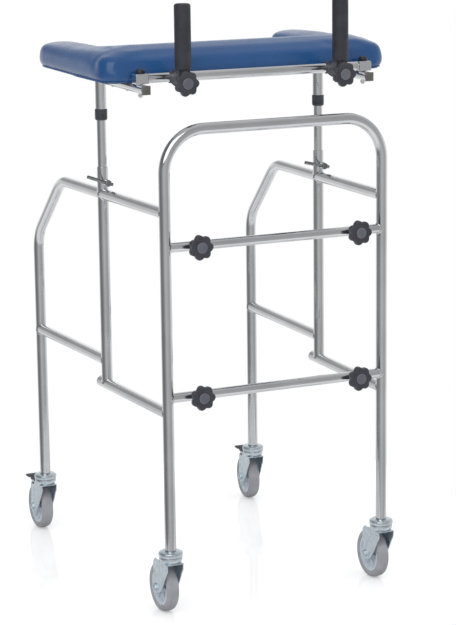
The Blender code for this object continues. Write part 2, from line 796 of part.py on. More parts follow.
def pad_half(inset):
    """(x, y) points of the right half: outer and inner run, both from the middle to the arm's tip."""
    inner_x = PAD_HALF_WIDTH - PAD_ARM_WIDTH
    tip_r = PAD_ARM_WIDTH / 2
    tip_y = PAD_REAR_Y - tip_r
    tip_x = PAD_HALF_WIDTH - tip_r
    outer, inner = [], []
    corner_x = PAD_HALF_WIDTH - PAD_CORNER_R
    inner_corner_x = inner_x - PAD_INNER_CORNER_R
    for step in range(PAD_FRONT_STEPS):
        share = step / PAD_FRONT_STEPS
        outer.append((corner_x * share, PAD_FRONT_Y + inset))
        inner.append((inner_corner_x * share, PAD_INNER_Y - inset))
    for step in range(PAD_CORNER_STEPS):
        angle = math.pi / 2 * step / PAD_CORNER_STEPS
        radius = PAD_CORNER_R - inset
        outer.append(
            (corner_x + radius * math.sin(angle), PAD_FRONT_Y + PAD_CORNER_R - radius * math.cos(angle))
        )
        radius = PAD_INNER_CORNER_R + inset
        inner_y = PAD_INNER_Y + PAD_INNER_CORNER_R - radius * math.cos(angle)
        inner.append((inner_corner_x + radius * math.sin(angle), inner_y))
    outer_start = PAD_FRONT_Y + PAD_CORNER_R
    inner_start = PAD_INNER_Y + PAD_INNER_CORNER_R
    for step in range(PAD_SIDE_STEPS):
        share = step / PAD_SIDE_STEPS
        outer.append((PAD_HALF_WIDTH - inset, outer_start + (tip_y - outer_start) * share))
        inner.append((inner_x + inset, inner_start + (tip_y - inner_start) * share))
    for step in range(PAD_TIP_STEPS + 1):
        angle = math.pi / 2 * step / PAD_TIP_STEPS
        radius = tip_r - inset
        outer.append((tip_x + radius * math.cos(angle), tip_y + radius * math.sin(angle)))
        inner.append((tip_x - radius * math.cos(angle), tip_y + radius * math.sin(angle)))
    return outer, inner


def thinned(y, height):
    """The arms are thinner than the cross part, down to a height just over the board."""
    first, last = PAD_SCALE_Y
    share = min(1.0, max(0.0, (y - first) / (last - first)))
    scale = 1 - (1 - PAD_ARM_SCALE) * share * share * (3 - 2 * share)
    return height if height < PAD_SCALE_FROM_Z else PAD_SCALE_FROM_Z + (height - PAD_SCALE_FROM_Z) * scale


def pad_loop(bm, inset, height):
    """One closed ring round the horseshoe."""
    outer, inner = pad_half(inset)
    mirrored_outer = [(-x, y) for x, y in outer]
    mirrored_inner = [(-x, y) for x, y in inner]
    points = outer + inner[-2::-1] + mirrored_inner[1:] + mirrored_outer[-2:0:-1]
    return [bm.verts.new(at(x, y, PAD_BOTTOM_Z + thinned(y, height))) for x, y in points]


def pad_ladder(bm, loop, spine_height=None):
    """Closes the horseshoe inside a ring, flat or up to a spine between its two runs."""
    last = len(pad_half(0)[0]) - 1
    count = len(loop)
    edge_inset, edge_height = PAD_SIDE_PROFILE[-1]

    def pair(step, mirrored):
        outer = (-step) % count if mirrored else step
        inner = (2 * last + step) % count if mirrored else 2 * last - step
        return loop[outer], loop[inner]

    spines = {}
    for mirrored in (False, True):
        for step in range(last + 1):
            outer, inner = pair(step, mirrored)
            if spine_height is None:
                spines[mirrored, step] = None
            elif step == last:
                spines[mirrored, step] = outer
            elif step == 0 and mirrored:
                spines[mirrored, step] = spines[False, 0]
            else:
                middle = (outer.co + inner.co) / 2
                share = min(1.0, (outer.co - inner.co).length / (PAD_INNER_Y - PAD_FRONT_Y - 2 * edge_inset))
                height = edge_height + (spine_height - edge_height) * share
                middle.z = PAD_BOTTOM_Z + thinned(middle.y - FRONT_Y, height)
                spines[mirrored, step] = bm.verts.new(middle)
    for mirrored in (False, True):
        for step in range(last):
            outer, inner = pair(step, mirrored)
            outer_next, inner_next = pair(step + 1, mirrored)
            middle, middle_next = spines[mirrored, step], spines[mirrored, step + 1]
            if middle is None:
                corners = [outer, outer_next, inner_next, inner]
                faces = [corners]
            else:
                faces = [[outer, outer_next, middle_next, middle], [inner, inner_next, middle_next, middle]]
            for corners in faces:
                unique = []
                for corner in corners:
                    if corner not in unique:
                        unique.append(corner)
                bm.faces.new(unique)


def forearm_pad():
    bm = bmesh.new()
    ceiling = BOARD_THICKNESS + GAP
    loops = [pad_loop(bm, PAD_RIM, ceiling), pad_loop(bm, PAD_RIM, 0)]
    loops += [pad_loop(bm, inset, height) for inset, height in PAD_SIDE_PROFILE]
    for first, second in zip(loops, loops[1:]):
        strip(bm, first, second)
    pad_ladder(bm, loops[0])
    pad_ladder(bm, loops[-1], PAD_CROWN)
    add("forearm_pad", bm, VINYL, CARRIAGE)


def pad_board():
    bm = bmesh.new()
    low = pad_loop(bm, PAD_RIM + RUN_GAP, 0)
    high = pad_loop(bm, PAD_RIM + RUN_GAP, BOARD_THICKNESS)
    strip(bm, low, high)
    pad_ladder(bm, low)
    pad_ladder(bm, high)
    add("pad_board", bm, PLYWOOD, CARRIAGE)


# Hand grips


def grip_clamp(word, hand):
    """Clamp that slides on the cross tube, with the core of the upright grip. A screw grips the tube."""
    x = hand * GRIP_X
    round_tube = BAR_R + GRIP_CLAMP_WALL
    outline = [
        (GRIP_CLAMP_FRONT_Y, GRIP_SCREW_Z - GRIP_CLAMP_FOOT),
        (GRIP_CLAMP_FRONT_Y, GRIP_CLAMP_TOP_Z),
        (GRIP_CLAMP_NECK_Y, GRIP_CLAMP_TOP_Z),
        (CROSS_TUBE_Y - round_tube / 2, CROSS_TUBE_Z + round_tube),
        (CROSS_TUBE_Y + round_tube / 2, CROSS_TUBE_Z + round_tube),
        (CROSS_TUBE_Y + round_tube, CROSS_TUBE_Z + round_tube / 2),
        (CROSS_TUBE_Y + round_tube, CROSS_TUBE_Z - round_tube / 2),
        (CROSS_TUBE_Y + round_tube / 2, CROSS_TUBE_Z - round_tube),
        (CROSS_TUBE_Y - round_tube / 2, CROSS_TUBE_Z - round_tube),
        (GRIP_CLAMP_NECK_Y, GRIP_SCREW_Z - GRIP_CLAMP_FOOT),
    ]
    half = GRIP_CLAMP_X / 2
    block = prism(
        "grip_clamp_" + word,
        [(y - CROSS_TUBE_Y, z) for y, z in outline],
        half,
        BLACK,
        Matrix.Translation(at(x, CROSS_TUBE_Y, 0)),
    )
    bevel = block.modifiers.new("edges", "BEVEL")
    bevel.width = 0.0015
    bevel.segments = 1
    core_top = GRIP_TOP_Z - GRIP_END_WALL - GAP
    core = lathe(
        "tool",
        (
            (0, GRIP_CLAMP_TOP_Z - 0.002),
            (GRIP_CORE_R, GRIP_CLAMP_TOP_Z - 0.002),
            (GRIP_CORE_R, core_top),
            (0, core_top),
        ),
        12,
        BLACK,
        Matrix.Translation(at(x, GRIP_Y, 0)),
    )
    combine(block, [core], "UNION")
    reach = GRIP_CLAMP_X
    tools = [
        rod(
            at(x - reach, CROSS_TUBE_Y, CROSS_TUBE_Z),
            at(x + reach, CROSS_TUBE_Y, CROSS_TUBE_Z),
            BAR_R + RUN_GAP,
            Y_AXIS,
        ),
        rod(
            at(x, GRIP_CLAMP_FRONT_Y - reach, GRIP_SCREW_Z),
            at(x, CROSS_TUBE_Y, GRIP_SCREW_Z),
            GRIP_SCREW_HOLE_R,
            X_AXIS,
            sides=14,
        ),
    ]
    combine(block, tools)


def hand_grip(word, hand):
    bottom = GRIP_BOTTOM_Z
    bore = GRIP_CORE_R + RUN_GAP
    roof = GRIP_TOP_Z - GRIP_END_WALL
    profile = (
        (0, roof),
        (bore, roof),
        (bore, bottom),
        (GRIP_R - GRIP_EDGE, bottom),
        (GRIP_R, bottom + GRIP_EDGE),
        (GRIP_R, GRIP_TOP_Z - GRIP_EDGE),
        (GRIP_R - GRIP_EDGE, GRIP_TOP_Z),
        (0, GRIP_TOP_Z),
    )
    lathe("hand_grip_" + word, profile, GRIP_SIDES, BLACK, Matrix.Translation(at(hand * GRIP_X, GRIP_Y, 0)))


def grip_knob(word, hand):
    face = GRIP_CLAMP_FRONT_Y - GAP
    boss = face - GRIP_KNOB_FRONT_Y - KNOB_THICKNESS
    tube_face = CROSS_TUBE_Y - math.sqrt(BAR_R**2 - (CROSS_TUBE_Z - GRIP_SCREW_Z - GRIP_SCREW_R) ** 2)
    origin = at(hand * GRIP_X, face, GRIP_SCREW_Z)
    star_knob("grip_knob_" + word, boss, tube_face - 2 * GAP - face, facing(origin, -Y_AXIS))


# Casters. Local Y is the way the caster trails, and local Z = 0 is the floor.


def stem_profile():
    under = FORK_TOP_Z - FORK_PLATE - RUN_GAP
    top = LEG_BOTTOM_Z + STEM_LENGTH
    return (
        (0, under - KINGPIN_HEAD),
        (KINGPIN_HEAD_R, under - KINGPIN_HEAD),
        (KINGPIN_HEAD_R, under),
        (KINGPIN_R, under),
        (KINGPIN_R, LOWER_RACE_TOP_Z + RUN_GAP),
        (RACE_R - 0.002, LOWER_RACE_TOP_Z + RUN_GAP),
        (RACE_R, LOWER_RACE_TOP_Z + 0.003),
        (RACE_R, LEG_BOTTOM_Z - 0.005),
        (RACE_R - 0.003, LEG_BOTTOM_Z - 0.0018),
        (0.0150, LEG_BOTTOM_Z - GAP),
        (STEM_R, LEG_BOTTOM_Z - GAP),
        (STEM_R, top),
        (0, top),
    )


def fork(name, matrix, with_pedal):
    end = []
    for degrees in (215, 245, 275, 305, 335, 370):
        angle = math.radians(degrees)
        end.append((TRAIL + FORK_END_R * math.cos(angle), WHEEL_R + FORK_END_R * math.sin(angle)))
    outline = [(y, FORK_TOP_Z + z) for y, z in FORK_FRONT_EDGE]
    outline += end
    outline += [(y, FORK_TOP_Z + z) for y, z in FORK_REAR_EDGE]
    half = FORK_INNER / 2 + FORK_PLATE
    shell = prism(name, outline, half, ZINC, matrix)
    bevel = shell.modifiers.new("edges", "BEVEL")
    bevel.width = FORK_EDGE
    bevel.segments = 2
    bevel.limit_method = "WEIGHT"
    weights = shell.data.attributes.new("bevel_weight_edge", "FLOAT", "EDGE")
    for edge in shell.data.edges:
        first, second = (shell.data.vertices[i].co for i in edge.vertices)
        on_top = max(abs(first.z - FORK_TOP_Z), abs(second.z - FORK_TOP_Z)) < 1e-5
        if on_top and abs(first.x - second.x) < 1e-5:
            weights.data[edge.index].value = 1.0
    inside = FORK_INNER / 2
    reach = 2 * WHEEL_R
    ceiling = FORK_TOP_Z - FORK_PLATE
    below = [(-reach, 0), (-reach, ceiling), (reach, ceiling), (reach, 0)]
    channel_low = prism("tool", below, inside, None, matrix)
    channel_rear = prism(
        "tool",
        [(FORK_OPEN_Y, WHEEL_R), (FORK_OPEN_Y, 2 * reach), (reach, 2 * reach), (reach, WHEEL_R)],
        inside,
        None,
        matrix,
    )
    combine(shell, [channel_low, channel_rear])
    race = lathe(
        "tool",
        (
            (0, FORK_TOP_Z - 0.001),
            (RACE_R - 0.005, FORK_TOP_Z - 0.001),
            (RACE_R - 0.001, FORK_TOP_Z + 0.005),
            (RACE_R - 0.001, LOWER_RACE_TOP_Z),
            (0, LOWER_RACE_TOP_Z),
        ),
        RACE_SIDES,
        ZINC,
        matrix,
    )
    nut_end = half + AXLE_NUT
    axle = lathe(
        "tool",
        (
            (0, -nut_end - 0.002),
            (AXLE_R, -nut_end - 0.002),
            (AXLE_R, -nut_end),
            (AXLE_NUT_R, -nut_end),
            (AXLE_NUT_R, -half + 0.001),
            (AXLE_R, -half + 0.001),
            (AXLE_R, half - 0.001),
            (AXLE_NUT_R, half - 0.001),
            (AXLE_NUT_R, nut_end),
            (0, nut_end),
        ),
        6,
        ZINC,
        matrix @ Matrix.Translation((0, TRAIL, WHEEL_R)) @ Matrix.Rotation(math.pi / 2, 4, "Y"),
    )
    combine(shell, [race, axle], "UNION")
    tools = [
        lathe(
            "tool",
            ((0, 0.09), (KINGPIN_R + RUN_GAP, 0.09), (KINGPIN_R + RUN_GAP, 0.13), (0, 0.13)),
            12,
            None,
            matrix,
        )
    ]
    if with_pedal:
        across = Matrix.Translation((0, PEDAL_PIN_Y, PEDAL_PIN_Z)) @ Matrix.Rotation(math.pi / 2, 4, "Y")
        reach = 2 * FORK_INNER
        hole_r = PEDAL_PIN_R + RUN_GAP
        profile = ((0, -reach), (hole_r, -reach), (hole_r, reach), (0, reach))
        tools.append(lathe("tool", profile, 10, None, matrix @ across))
    combine(shell, tools)


def tyre_profile():
    facet_r = WHEEL_R / math.cos(math.pi / TYRE_STEPS)
    half = TYRE_WIDTH / 2
    return (
        (TYRE_INNER_R, -half + 0.0025),
        (TYRE_INNER_R + 0.005, -half),
        (facet_r - 0.0045, -half + 0.0008),
        (facet_r, -TREAD_FLAT / 2),
        (facet_r, TREAD_FLAT / 2),
        (facet_r - 0.0045, half - 0.0008),
        (TYRE_INNER_R + 0.005, half),
        (TYRE_INNER_R, half - 0.0025),
    )


def hub_profile():
    rim = HUB_RIM_WIDTH / 2
    web = HUB_WEB / 2
    boss = FORK_INNER / 2 - GAP
    outer = (TYRE_INNER_R - GAP) * math.cos(math.pi / TYRE_STEPS)
    half = (
        (outer, rim),
        (HUB_RIM_R, rim),
        (HUB_RIM_R - 0.002, web),
        (HUB_BOSS_R + 0.003, web),
        (HUB_BOSS_R, boss),
        (HUB_BORE_R, boss),
    )
    return half + tuple((radius, -height) for radius, height in reversed(half))


def brake_pedal(name, matrix):
    place = matrix @ Matrix.Translation((0, PEDAL_PIN_Y, PEDAL_PIN_Z))
    pedal = prism(name, PEDAL_OUTLINE, PEDAL_WIDTH / 2, BLACK, place)
    reach = FORK_INNER / 2 + FORK_PLATE + PEDAL_PIN_END
    tab = box(
        "tool",
        (-PEDAL_TAB_WIDTH / 2, PEDAL_TAB_Y[0], PEDAL_TAB_Z[0]),
        (PEDAL_TAB_WIDTH / 2, PEDAL_TAB_Y[1], PEDAL_TAB_Z[1]),
        BLACK,
        place,
    )
    pin = lathe(
        "tool",
        ((0, -reach), (PEDAL_PIN_R, -reach), (PEDAL_PIN_R, reach), (0, reach)),
        10,
        BLACK,
        place @ Matrix.Rotation(math.pi / 2, 4, "Y"),
    )
    combine(pedal, [pin, tab], "UNION")


def casters():
    places = (
        ("front_left", at(-FRONT_SPACING / 2, 0, 0), 0.0),
        ("front_right", at(FRONT_SPACING / 2, 0, 0), 0.0),
        ("rear_left", at(-REAR_SPACING / 2, DEPTH, 0), REAR_LEFT_TURN),
        ("rear_right", at(REAR_SPACING / 2, DEPTH, 0), REAR_RIGHT_TURN),
    )
    half_step = math.pi / TYRE_STEPS
    shared = {}
    for name, point, turn in places:
        place = Matrix.Translation(point) @ Matrix.Rotation(turn, 4, "Z")
        wheel = place @ Matrix.Translation((0, TRAIL, WHEEL_R)) @ Matrix.Rotation(math.pi / 2, 4, "Y")
        fork("caster_fork_" + name, place, name.startswith("rear"))
        if not shared:
            shared["stem"] = lathe("caster_stem_" + name, stem_profile(), RACE_SIDES, ZINC, place).data
            shared["tyre"] = lathe(
                "caster_tyre_" + name, tyre_profile(), TYRE_STEPS, TYRE_RUBBER, wheel, half_step, closed=True
            ).data
            shared["hub"] = lathe(
                "caster_hub_" + name, hub_profile(), HUB_STEPS, HUB_PLASTIC, wheel, closed=True
            ).data
        else:
            add_mesh("caster_stem_" + name, shared["stem"], place)
            add_mesh("caster_tyre_" + name, shared["tyre"], wheel)
            add_mesh("caster_hub_" + name, shared["hub"], wheel)
        if name.startswith("rear"):
            brake_pedal("brake_pedal_" + name[5:], place)


def main():
    clear_scene()
    front_frame()
    crossbar("crossbar_upper", UPPER_BAR_Z)
    crossbar("crossbar_lower", LOWER_BAR_Z)
    crossbar_knobs()
    cross_tube()
    pad_board()
    forearm_pad()
    for word, hand in HANDS:
        side_frame(word, hand)
        rails(word, hand)
        post(word, hand)
        post_sleeve(word, hand)
        post_clamp(word, hand, TOMMY_TILT_LEFT if hand < 0 else TOMMY_TILT_RIGHT)
        inner_post(word, hand)
        post_collar(word, hand)
        upper_socket(word, hand)
        carriage_rail(word, hand)
        cross_clamp(word, hand)
        grip_clamp(word, hand)
        hand_grip(word, hand)
        grip_knob(word, hand)
    casters()


main()
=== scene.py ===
# %% [markdown]
# # A forearm support walker
#
# The walker is a chromed steel tube frame on four swivel casters. A horseshoe pad on a sliding carriage
# takes the forearms, and two upright grips stand in front of it.
#
# The measured solids come in first as a fixed frame. Each new piece is drawn over the solid that it
# stands for, so nothing has to be fitted by eye, and every joint still moves what it should.

# %% Load the frame and note its size
import json
import math

import bpy
from mathutils import Matrix, Vector, noise


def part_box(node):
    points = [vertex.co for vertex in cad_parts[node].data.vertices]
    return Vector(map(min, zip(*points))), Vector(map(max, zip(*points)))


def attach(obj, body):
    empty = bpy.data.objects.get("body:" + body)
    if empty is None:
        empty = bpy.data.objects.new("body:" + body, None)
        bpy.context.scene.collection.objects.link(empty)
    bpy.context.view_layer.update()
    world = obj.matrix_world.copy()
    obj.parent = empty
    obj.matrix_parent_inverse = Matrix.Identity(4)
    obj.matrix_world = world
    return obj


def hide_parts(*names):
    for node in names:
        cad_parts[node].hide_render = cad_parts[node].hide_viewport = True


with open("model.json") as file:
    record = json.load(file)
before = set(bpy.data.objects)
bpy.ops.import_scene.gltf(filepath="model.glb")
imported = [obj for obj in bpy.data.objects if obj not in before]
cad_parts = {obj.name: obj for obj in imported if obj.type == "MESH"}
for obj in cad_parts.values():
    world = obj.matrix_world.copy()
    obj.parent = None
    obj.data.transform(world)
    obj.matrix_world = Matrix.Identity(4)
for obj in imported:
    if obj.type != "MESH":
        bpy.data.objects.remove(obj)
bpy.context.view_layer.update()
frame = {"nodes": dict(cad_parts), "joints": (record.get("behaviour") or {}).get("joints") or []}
nodes = frame["nodes"]
bpy.ops.object.select_all(action="DESELECT")


# %% [markdown]
# ## The camera
#
# The camera stands about 40 cm above the pad, to the left of the walker, and looks slightly down. A long
# lens from far away keeps the upright tubes nearly parallel. Three unit vectors, for right, up and back,
# make the camera's matrix, which is clearer than three angles in a row.

# %% Set up the camera
def middle(node):
    """The middle of a solid's box."""
    low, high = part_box(node)
    return (Vector(low) + Vector(high)) / 2


FRONT_Y = middle("front_frame").y
HEADING = 0.4381
PITCH = -0.2048
ROLL = -0.0122
CAMERA_PLACE = (-1.94118, FRONT_Y - 3.92030, 1.49448)
LENS_MM = 131.228
SENSOR_MM = 36
FAR_CLIP = 80

forward = Vector((
    math.sin(HEADING) * math.cos(PITCH),
    math.cos(HEADING) * math.cos(PITCH),
    math.sin(PITCH),
))
level = Vector((math.cos(HEADING), -math.sin(HEADING), 0))
upward = level.cross(forward)
right = math.cos(ROLL) * level + math.sin(ROLL) * upward
up = math.cos(ROLL) * upward - math.sin(ROLL) * level

bpy.ops.object.camera_add()
camera = bpy.context.object
turn = Matrix((right, up, -forward)).transposed().to_4x4()
camera.matrix_world = Matrix.Translation(CAMERA_PLACE) @ turn
camera.data.lens = LENS_MM
camera.data.sensor_width = SENSOR_MM
camera.data.clip_end = FAR_CLIP
bpy.context.scene.camera = camera
bpy.context.scene.view_settings.view_transform = "Standard"
print("camera heading:", round(math.degrees(HEADING), 1), "degrees")


# %% [markdown]
# ## The studio
#
# Polished metal shows nothing of its own, only the room around it. In a plain white room a chromed tube
# would be a white stripe, so this studio has darker parts: grey curtains to the left of the set and a
# dim ceiling, while the ground near the walker and the far wall are bright. A ramp by heading paints the
# walls, and a ramp by height blends them into ground and ceiling. A white screen hangs behind the set
# just where the floor mirrors it, which makes the casters' reflections show. Only glossy rays see that
# room. The camera sees plain white behind the walker.

# %% Light the studio
WHITE = (1.0, 1.0, 1.0)
GROUND = (0.84, 0.84, 0.85)
ZENITH = (0.55, 0.55, 0.55)
PLAIN_FILL = (0.72, 0.72, 0.73)

world = bpy.data.worlds.new("studio")
bpy.context.scene.world = world
world.use_nodes = True
tree = world.node_tree
tree.nodes.clear()


def ramp_node(tree, stops, interpolation="LINEAR"):
    """A colour ramp with grey stops, given as (position, brightness)."""
    node = tree.nodes.new("ShaderNodeValToRGB")
    node.color_ramp.interpolation = interpolation
    elements = node.color_ramp.elements
    while len(elements) < len(stops):
        elements.new(0.5)
    for element, (position, value) in zip(elements, stops):
        element.position = position
        element.color = (value, value, value, 1)
    return node


def math_node(tree, operation, first, second=None):
    """A maths node whose inputs are sockets or numbers."""
    node = tree.nodes.new("ShaderNodeMath")
    node.operation = operation
    for socket, value in zip(node.inputs, (first, second)):
        if isinstance(value, (int, float)):
            socket.default_value = value
        elif value is not None:
            tree.links.new(value, socket)
    return node.outputs[0]


def mix_node(tree, factor, first, second):
    """A colour mix whose inputs are sockets or colours."""
    node = tree.nodes.new("ShaderNodeMix")
    node.data_type = "RGBA"
    for socket, value in ((node.inputs[0], factor), (node.inputs[6], first), (node.inputs[7], second)):
        if isinstance(value, (tuple, float, int)):
            socket.default_value = (*value, 1) if isinstance(value, tuple) else value
        else:
            tree.links.new(value, socket)
    return node.outputs[2]


def heading_stop(degrees, value):
    """A heading counted from +Y towards +X, as a position on the ramp."""
    return ((degrees + 180) / 360, value)


where = tree.nodes.new("ShaderNodeTexCoord")
split = tree.nodes.new("ShaderNodeSeparateXYZ")
tree.links.new(where.outputs["Generated"], split.inputs[0])
heading = math_node(tree, "ARCTAN2", split.outputs["X"], split.outputs["Y"])
share = math_node(tree, "MULTIPLY_ADD", heading, 1 / (2 * math.pi))
share.node.inputs[2].default_value = 0.5
walls = ramp_node(tree, [
    heading_stop(-180, 0.48),
    heading_stop(-150, 0.52),
    heading_stop(-122, 0.34),
    heading_stop(-98, 0.20),
    heading_stop(-62, 0.19),
    heading_stop(-38, 0.42),
    heading_stop(-12, 0.88),
    heading_stop(60, 0.92),
    heading_stop(100, 0.78),
    heading_stop(126, 0.44),
    heading_stop(150, 0.40),
    heading_stop(180, 0.48),
])
tree.links.new(share, walls.inputs[0])
ceiling = ramp_node(tree, [
    heading_stop(-180, 0.36),
    heading_stop(-130, 0.18),
    heading_stop(-50, 0.15),
    heading_stop(-8, 0.40),
    heading_stop(8, 0.62),
    heading_stop(60, 0.62),
    heading_stop(110, 0.42),
    heading_stop(180, 0.36),
])
tree.links.new(share, ceiling.inputs[0])
height = math_node(tree, "MULTIPLY_ADD", split.outputs["Z"], 0.5)
height.node.inputs[2].default_value = 0.5
from_ground = ramp_node(tree, [(0.20, 0.0), (0.31, 1.0)])
to_ceiling = ramp_node(tree, [(0.53, 0.0), (0.63, 1.0)])
to_zenith = ramp_node(tree, [(0.86, 0.0), (1.0, 1.0)])
for ramp in (from_ground, to_ceiling, to_zenith):
    tree.links.new(height, ramp.inputs[0])
low_half = mix_node(tree, from_ground.outputs[0], GROUND, walls.outputs[0])
high_half = mix_node(tree, to_ceiling.outputs[0], low_half, ceiling.outputs[0])
room = mix_node(tree, to_zenith.outputs[0], high_half, ZENITH)
screen_sides = ramp_node(tree, [
    heading_stop(6, 0.0),
    heading_stop(14, 1.0),
    heading_stop(38, 1.0),
    heading_stop(46, 0.0),
])
tree.links.new(share, screen_sides.inputs[0])
screen_rows = ramp_node(tree, [(0.57, 0.0), (0.59, 1.0), (0.68, 1.0), (0.71, 0.0)])
tree.links.new(height, screen_rows.inputs[0])
screen = math_node(tree, "MULTIPLY", screen_sides.outputs[0], screen_rows.outputs[0])
mirrored = mix_node(tree, screen, room, WHITE)
rays = tree.nodes.new("ShaderNodeLightPath")
seen = math_node(tree, "MAXIMUM", rays.outputs["Is Camera Ray"], rays.outputs["Is Transmission Ray"])
fill = mix_node(tree, rays.outputs["Is Glossy Ray"], PLAIN_FILL, mirrored)
shown = mix_node(tree, seen, fill, WHITE)
background = tree.nodes.new("ShaderNodeBackground")
tree.links.new(shown, background.inputs["Color"])
output = tree.nodes.new("ShaderNodeOutputWorld")
tree.links.new(background.outputs[0], output.inputs[0])


def soft_light(name, place, target, size, energy):
    """A square light that looks at a target."""
    bpy.ops.object.light_add(type="AREA", location=place)
    light = bpy.context.object
    light.name = name
    light.rotation_euler = (Vector(target) - Vector(place)).to_track_quat("-Z", "Y").to_euler()
    light.data.shape = "SQUARE"
    light.data.size = size
    light.data.energy = energy
    return light


soft_light("key_light", place=(-2.2, -2.4, 3.0), target=(0, 0, 0.7), size=3.2, energy=46)
for broad in (
    soft_light("fill_light", place=(2.6, -1.6, 2.2), target=(0, 0, 0.7), size=2.0, energy=18),
    soft_light("back_light", place=(0.6, 3.0, 2.8), target=(0, 0, 0.8), size=2.0, energy=22),
):
    broad.visible_glossy = False


# %% [markdown]
# ## The floor
#
# A real set has a sheet of white acrylic on the ground, about twice as wide as the walker. Its surface
# is one shader: a white that is topped up for camera rays only, and a weak mirror whose strength grows
# at low angles by itself. Round the wheels the top-up is low, so that shadows stay. It grows towards the
# rim, so that the sheet meets the white background with hardly an edge from any side.

# %% Lay the floor
FLOOR_SIZE = 1.34
FLOOR_MIDDLE = (0, 0.03, 0)
SHADOW_REACH = 0.36
RIM_REACH = FLOOR_SIZE * 0.47
MIDDLE_GLOW = 0.30
RIM_GLOW = 0.42

bpy.ops.mesh.primitive_plane_add(size=FLOOR_SIZE, location=FLOOR_MIDDLE)
floor = bpy.context.object
floor.name = "studio_floor"
bpy.ops.object.mode_set(mode="EDIT")
bpy.ops.mesh.subdivide(number_cuts=3)
bpy.ops.object.mode_set(mode="OBJECT")
floor_white = bpy.data.materials.new("floor_white")
floor_white.use_nodes = True
tree = floor_white.node_tree
shader = tree.nodes["Principled BSDF"]
shader.inputs["Base Color"].default_value = (0.80, 0.80, 0.80, 1)
shader.inputs["Roughness"].default_value = 0.06
shader.inputs["Specular IOR Level"].default_value = 0.22
rays = tree.nodes.new("ShaderNodeLightPath")
spot = tree.nodes.new("ShaderNodeTexCoord")
from_middle = tree.nodes.new("ShaderNodeVectorMath")
from_middle.operation = "DISTANCE"
from_middle.inputs[1].default_value = FLOOR_MIDDLE
tree.links.new(spot.outputs["Object"], from_middle.inputs[0])
to_rim = tree.nodes.new("ShaderNodeMapRange")
to_rim.interpolation_type = "SMOOTHSTEP"
to_rim.inputs["From Min"].default_value = SHADOW_REACH
to_rim.inputs["From Max"].default_value = RIM_REACH
to_rim.inputs["To Min"].default_value = MIDDLE_GLOW
to_rim.inputs["To Max"].default_value = RIM_GLOW
tree.links.new(from_middle.outputs["Value"], to_rim.inputs["Value"])
top_up = math_node(tree, "MULTIPLY", rays.outputs["Is Camera Ray"], to_rim.outputs["Result"])
glow = tree.nodes.new("ShaderNodeCombineColor")
for socket in glow.inputs:
    tree.links.new(top_up, socket)
tree.links.new(glow.outputs[0], shader.inputs["Emission Color"])
shader.inputs["Emission Strength"].default_value = 1.0
floor.data.materials.append(floor_white)
bpy.ops.object.transform_apply(location=True)
print("floor:", FLOOR_SIZE, "m square")


# %% [markdown]
# ## Shared effects
#
# Every finish on the walker varies a little: plating is smudged by hands, plastic has a fine grain, and
# edges rub bright. Each effect is a small node group that is made once and dropped into several
# materials with other numbers. A group gives out only a value, and the shader stays in the material.

# %% Make the node groups
def start_group(name, settings, results):
    """An empty node group with number inputs and outputs, and its two end nodes."""
    group = bpy.data.node_groups.new(name, "ShaderNodeTree")
    for label, value in settings:
        socket = group.interface.new_socket(label, in_out="INPUT", socket_type="NodeSocketFloat")
        socket.default_value = value
    for label in results:
        group.interface.new_socket(label, in_out="OUTPUT", socket_type="NodeSocketFloat")
    return group, group.nodes.new("NodeGroupInput"), group.nodes.new("NodeGroupOutput")


def noise_node(tree, vector, scale, detail):
    """Soft noise at a vector. Its scale is a number or a socket."""
    node = tree.nodes.new("ShaderNodeTexNoise")
    node.inputs["Detail"].default_value = detail
    tree.links.new(vector, node.inputs["Vector"])
    if isinstance(scale, (int, float)):
        node.inputs["Scale"].default_value = scale
    else:
        tree.links.new(scale, node.inputs["Scale"])
    return node.outputs[0]


def range_node(tree, value, low, high, new_low, new_high):
    """Maps low..high of a value onto a new range, and holds it there."""
    node = tree.nodes.new("ShaderNodeMapRange")
    tree.links.new(value, node.inputs["Value"])
    for label, number in (("From Min", low), ("From Max", high), ("To Min", new_low), ("To Max", new_high)):
        if isinstance(number, (int, float)):
            node.inputs[label].default_value = number
        else:
            tree.links.new(number, node.inputs[label])
    return node.outputs[0]


patches, given, result = start_group("patches", [("Scale", 20.0), ("Low", 0.0), ("High", 1.0)], ["Value"])
place = patches.nodes.new("ShaderNodeTexCoord").outputs["Object"]
cloud = noise_node(patches, place, given.outputs["Scale"], 5.0)
value = range_node(patches, cloud, 0.36, 0.64, given.outputs["Low"], given.outputs["High"])
patches.links.new(value, result.inputs[0])

grain, given, result = start_group("grain", [("Scale", 900.0)], ["Height"])
place = grain.nodes.new("ShaderNodeTexCoord").outputs["Object"]
cells = grain.nodes.new("ShaderNodeTexVoronoi")
grain.links.new(place, cells.inputs["Vector"])
grain.links.new(given.outputs["Scale"], cells.inputs["Scale"])
dust = noise_node(grain, place, given.outputs["Scale"], 4.0)
both = math_node(grain, "MULTIPLY_ADD", cells.outputs["Distance"], 0.7)
grain.links.new(dust, both.node.inputs[2])
grain.links.new(both, result.inputs[0])

edge_wear, given, result = start_group("edge_wear", [("Start", 0.52), ("Scale", 60.0)], ["Mask"])
place = edge_wear.nodes.new("ShaderNodeTexCoord").outputs["Object"]
shape = edge_wear.nodes.new("ShaderNodeNewGeometry").outputs["Pointiness"]
ridge = range_node(edge_wear, shape, given.outputs["Start"], 0.60, 0.0, 1.0)
rubs = noise_node(edge_wear, place, given.outputs["Scale"], 4.0)
broken = range_node(edge_wear, rubs, 0.35, 0.6, 0.25, 1.0)
edge_wear.links.new(math_node(edge_wear, "MULTIPLY", ridge, broken), result.inputs[0])
print("node groups:", [group.name for group in bpy.data.node_groups])


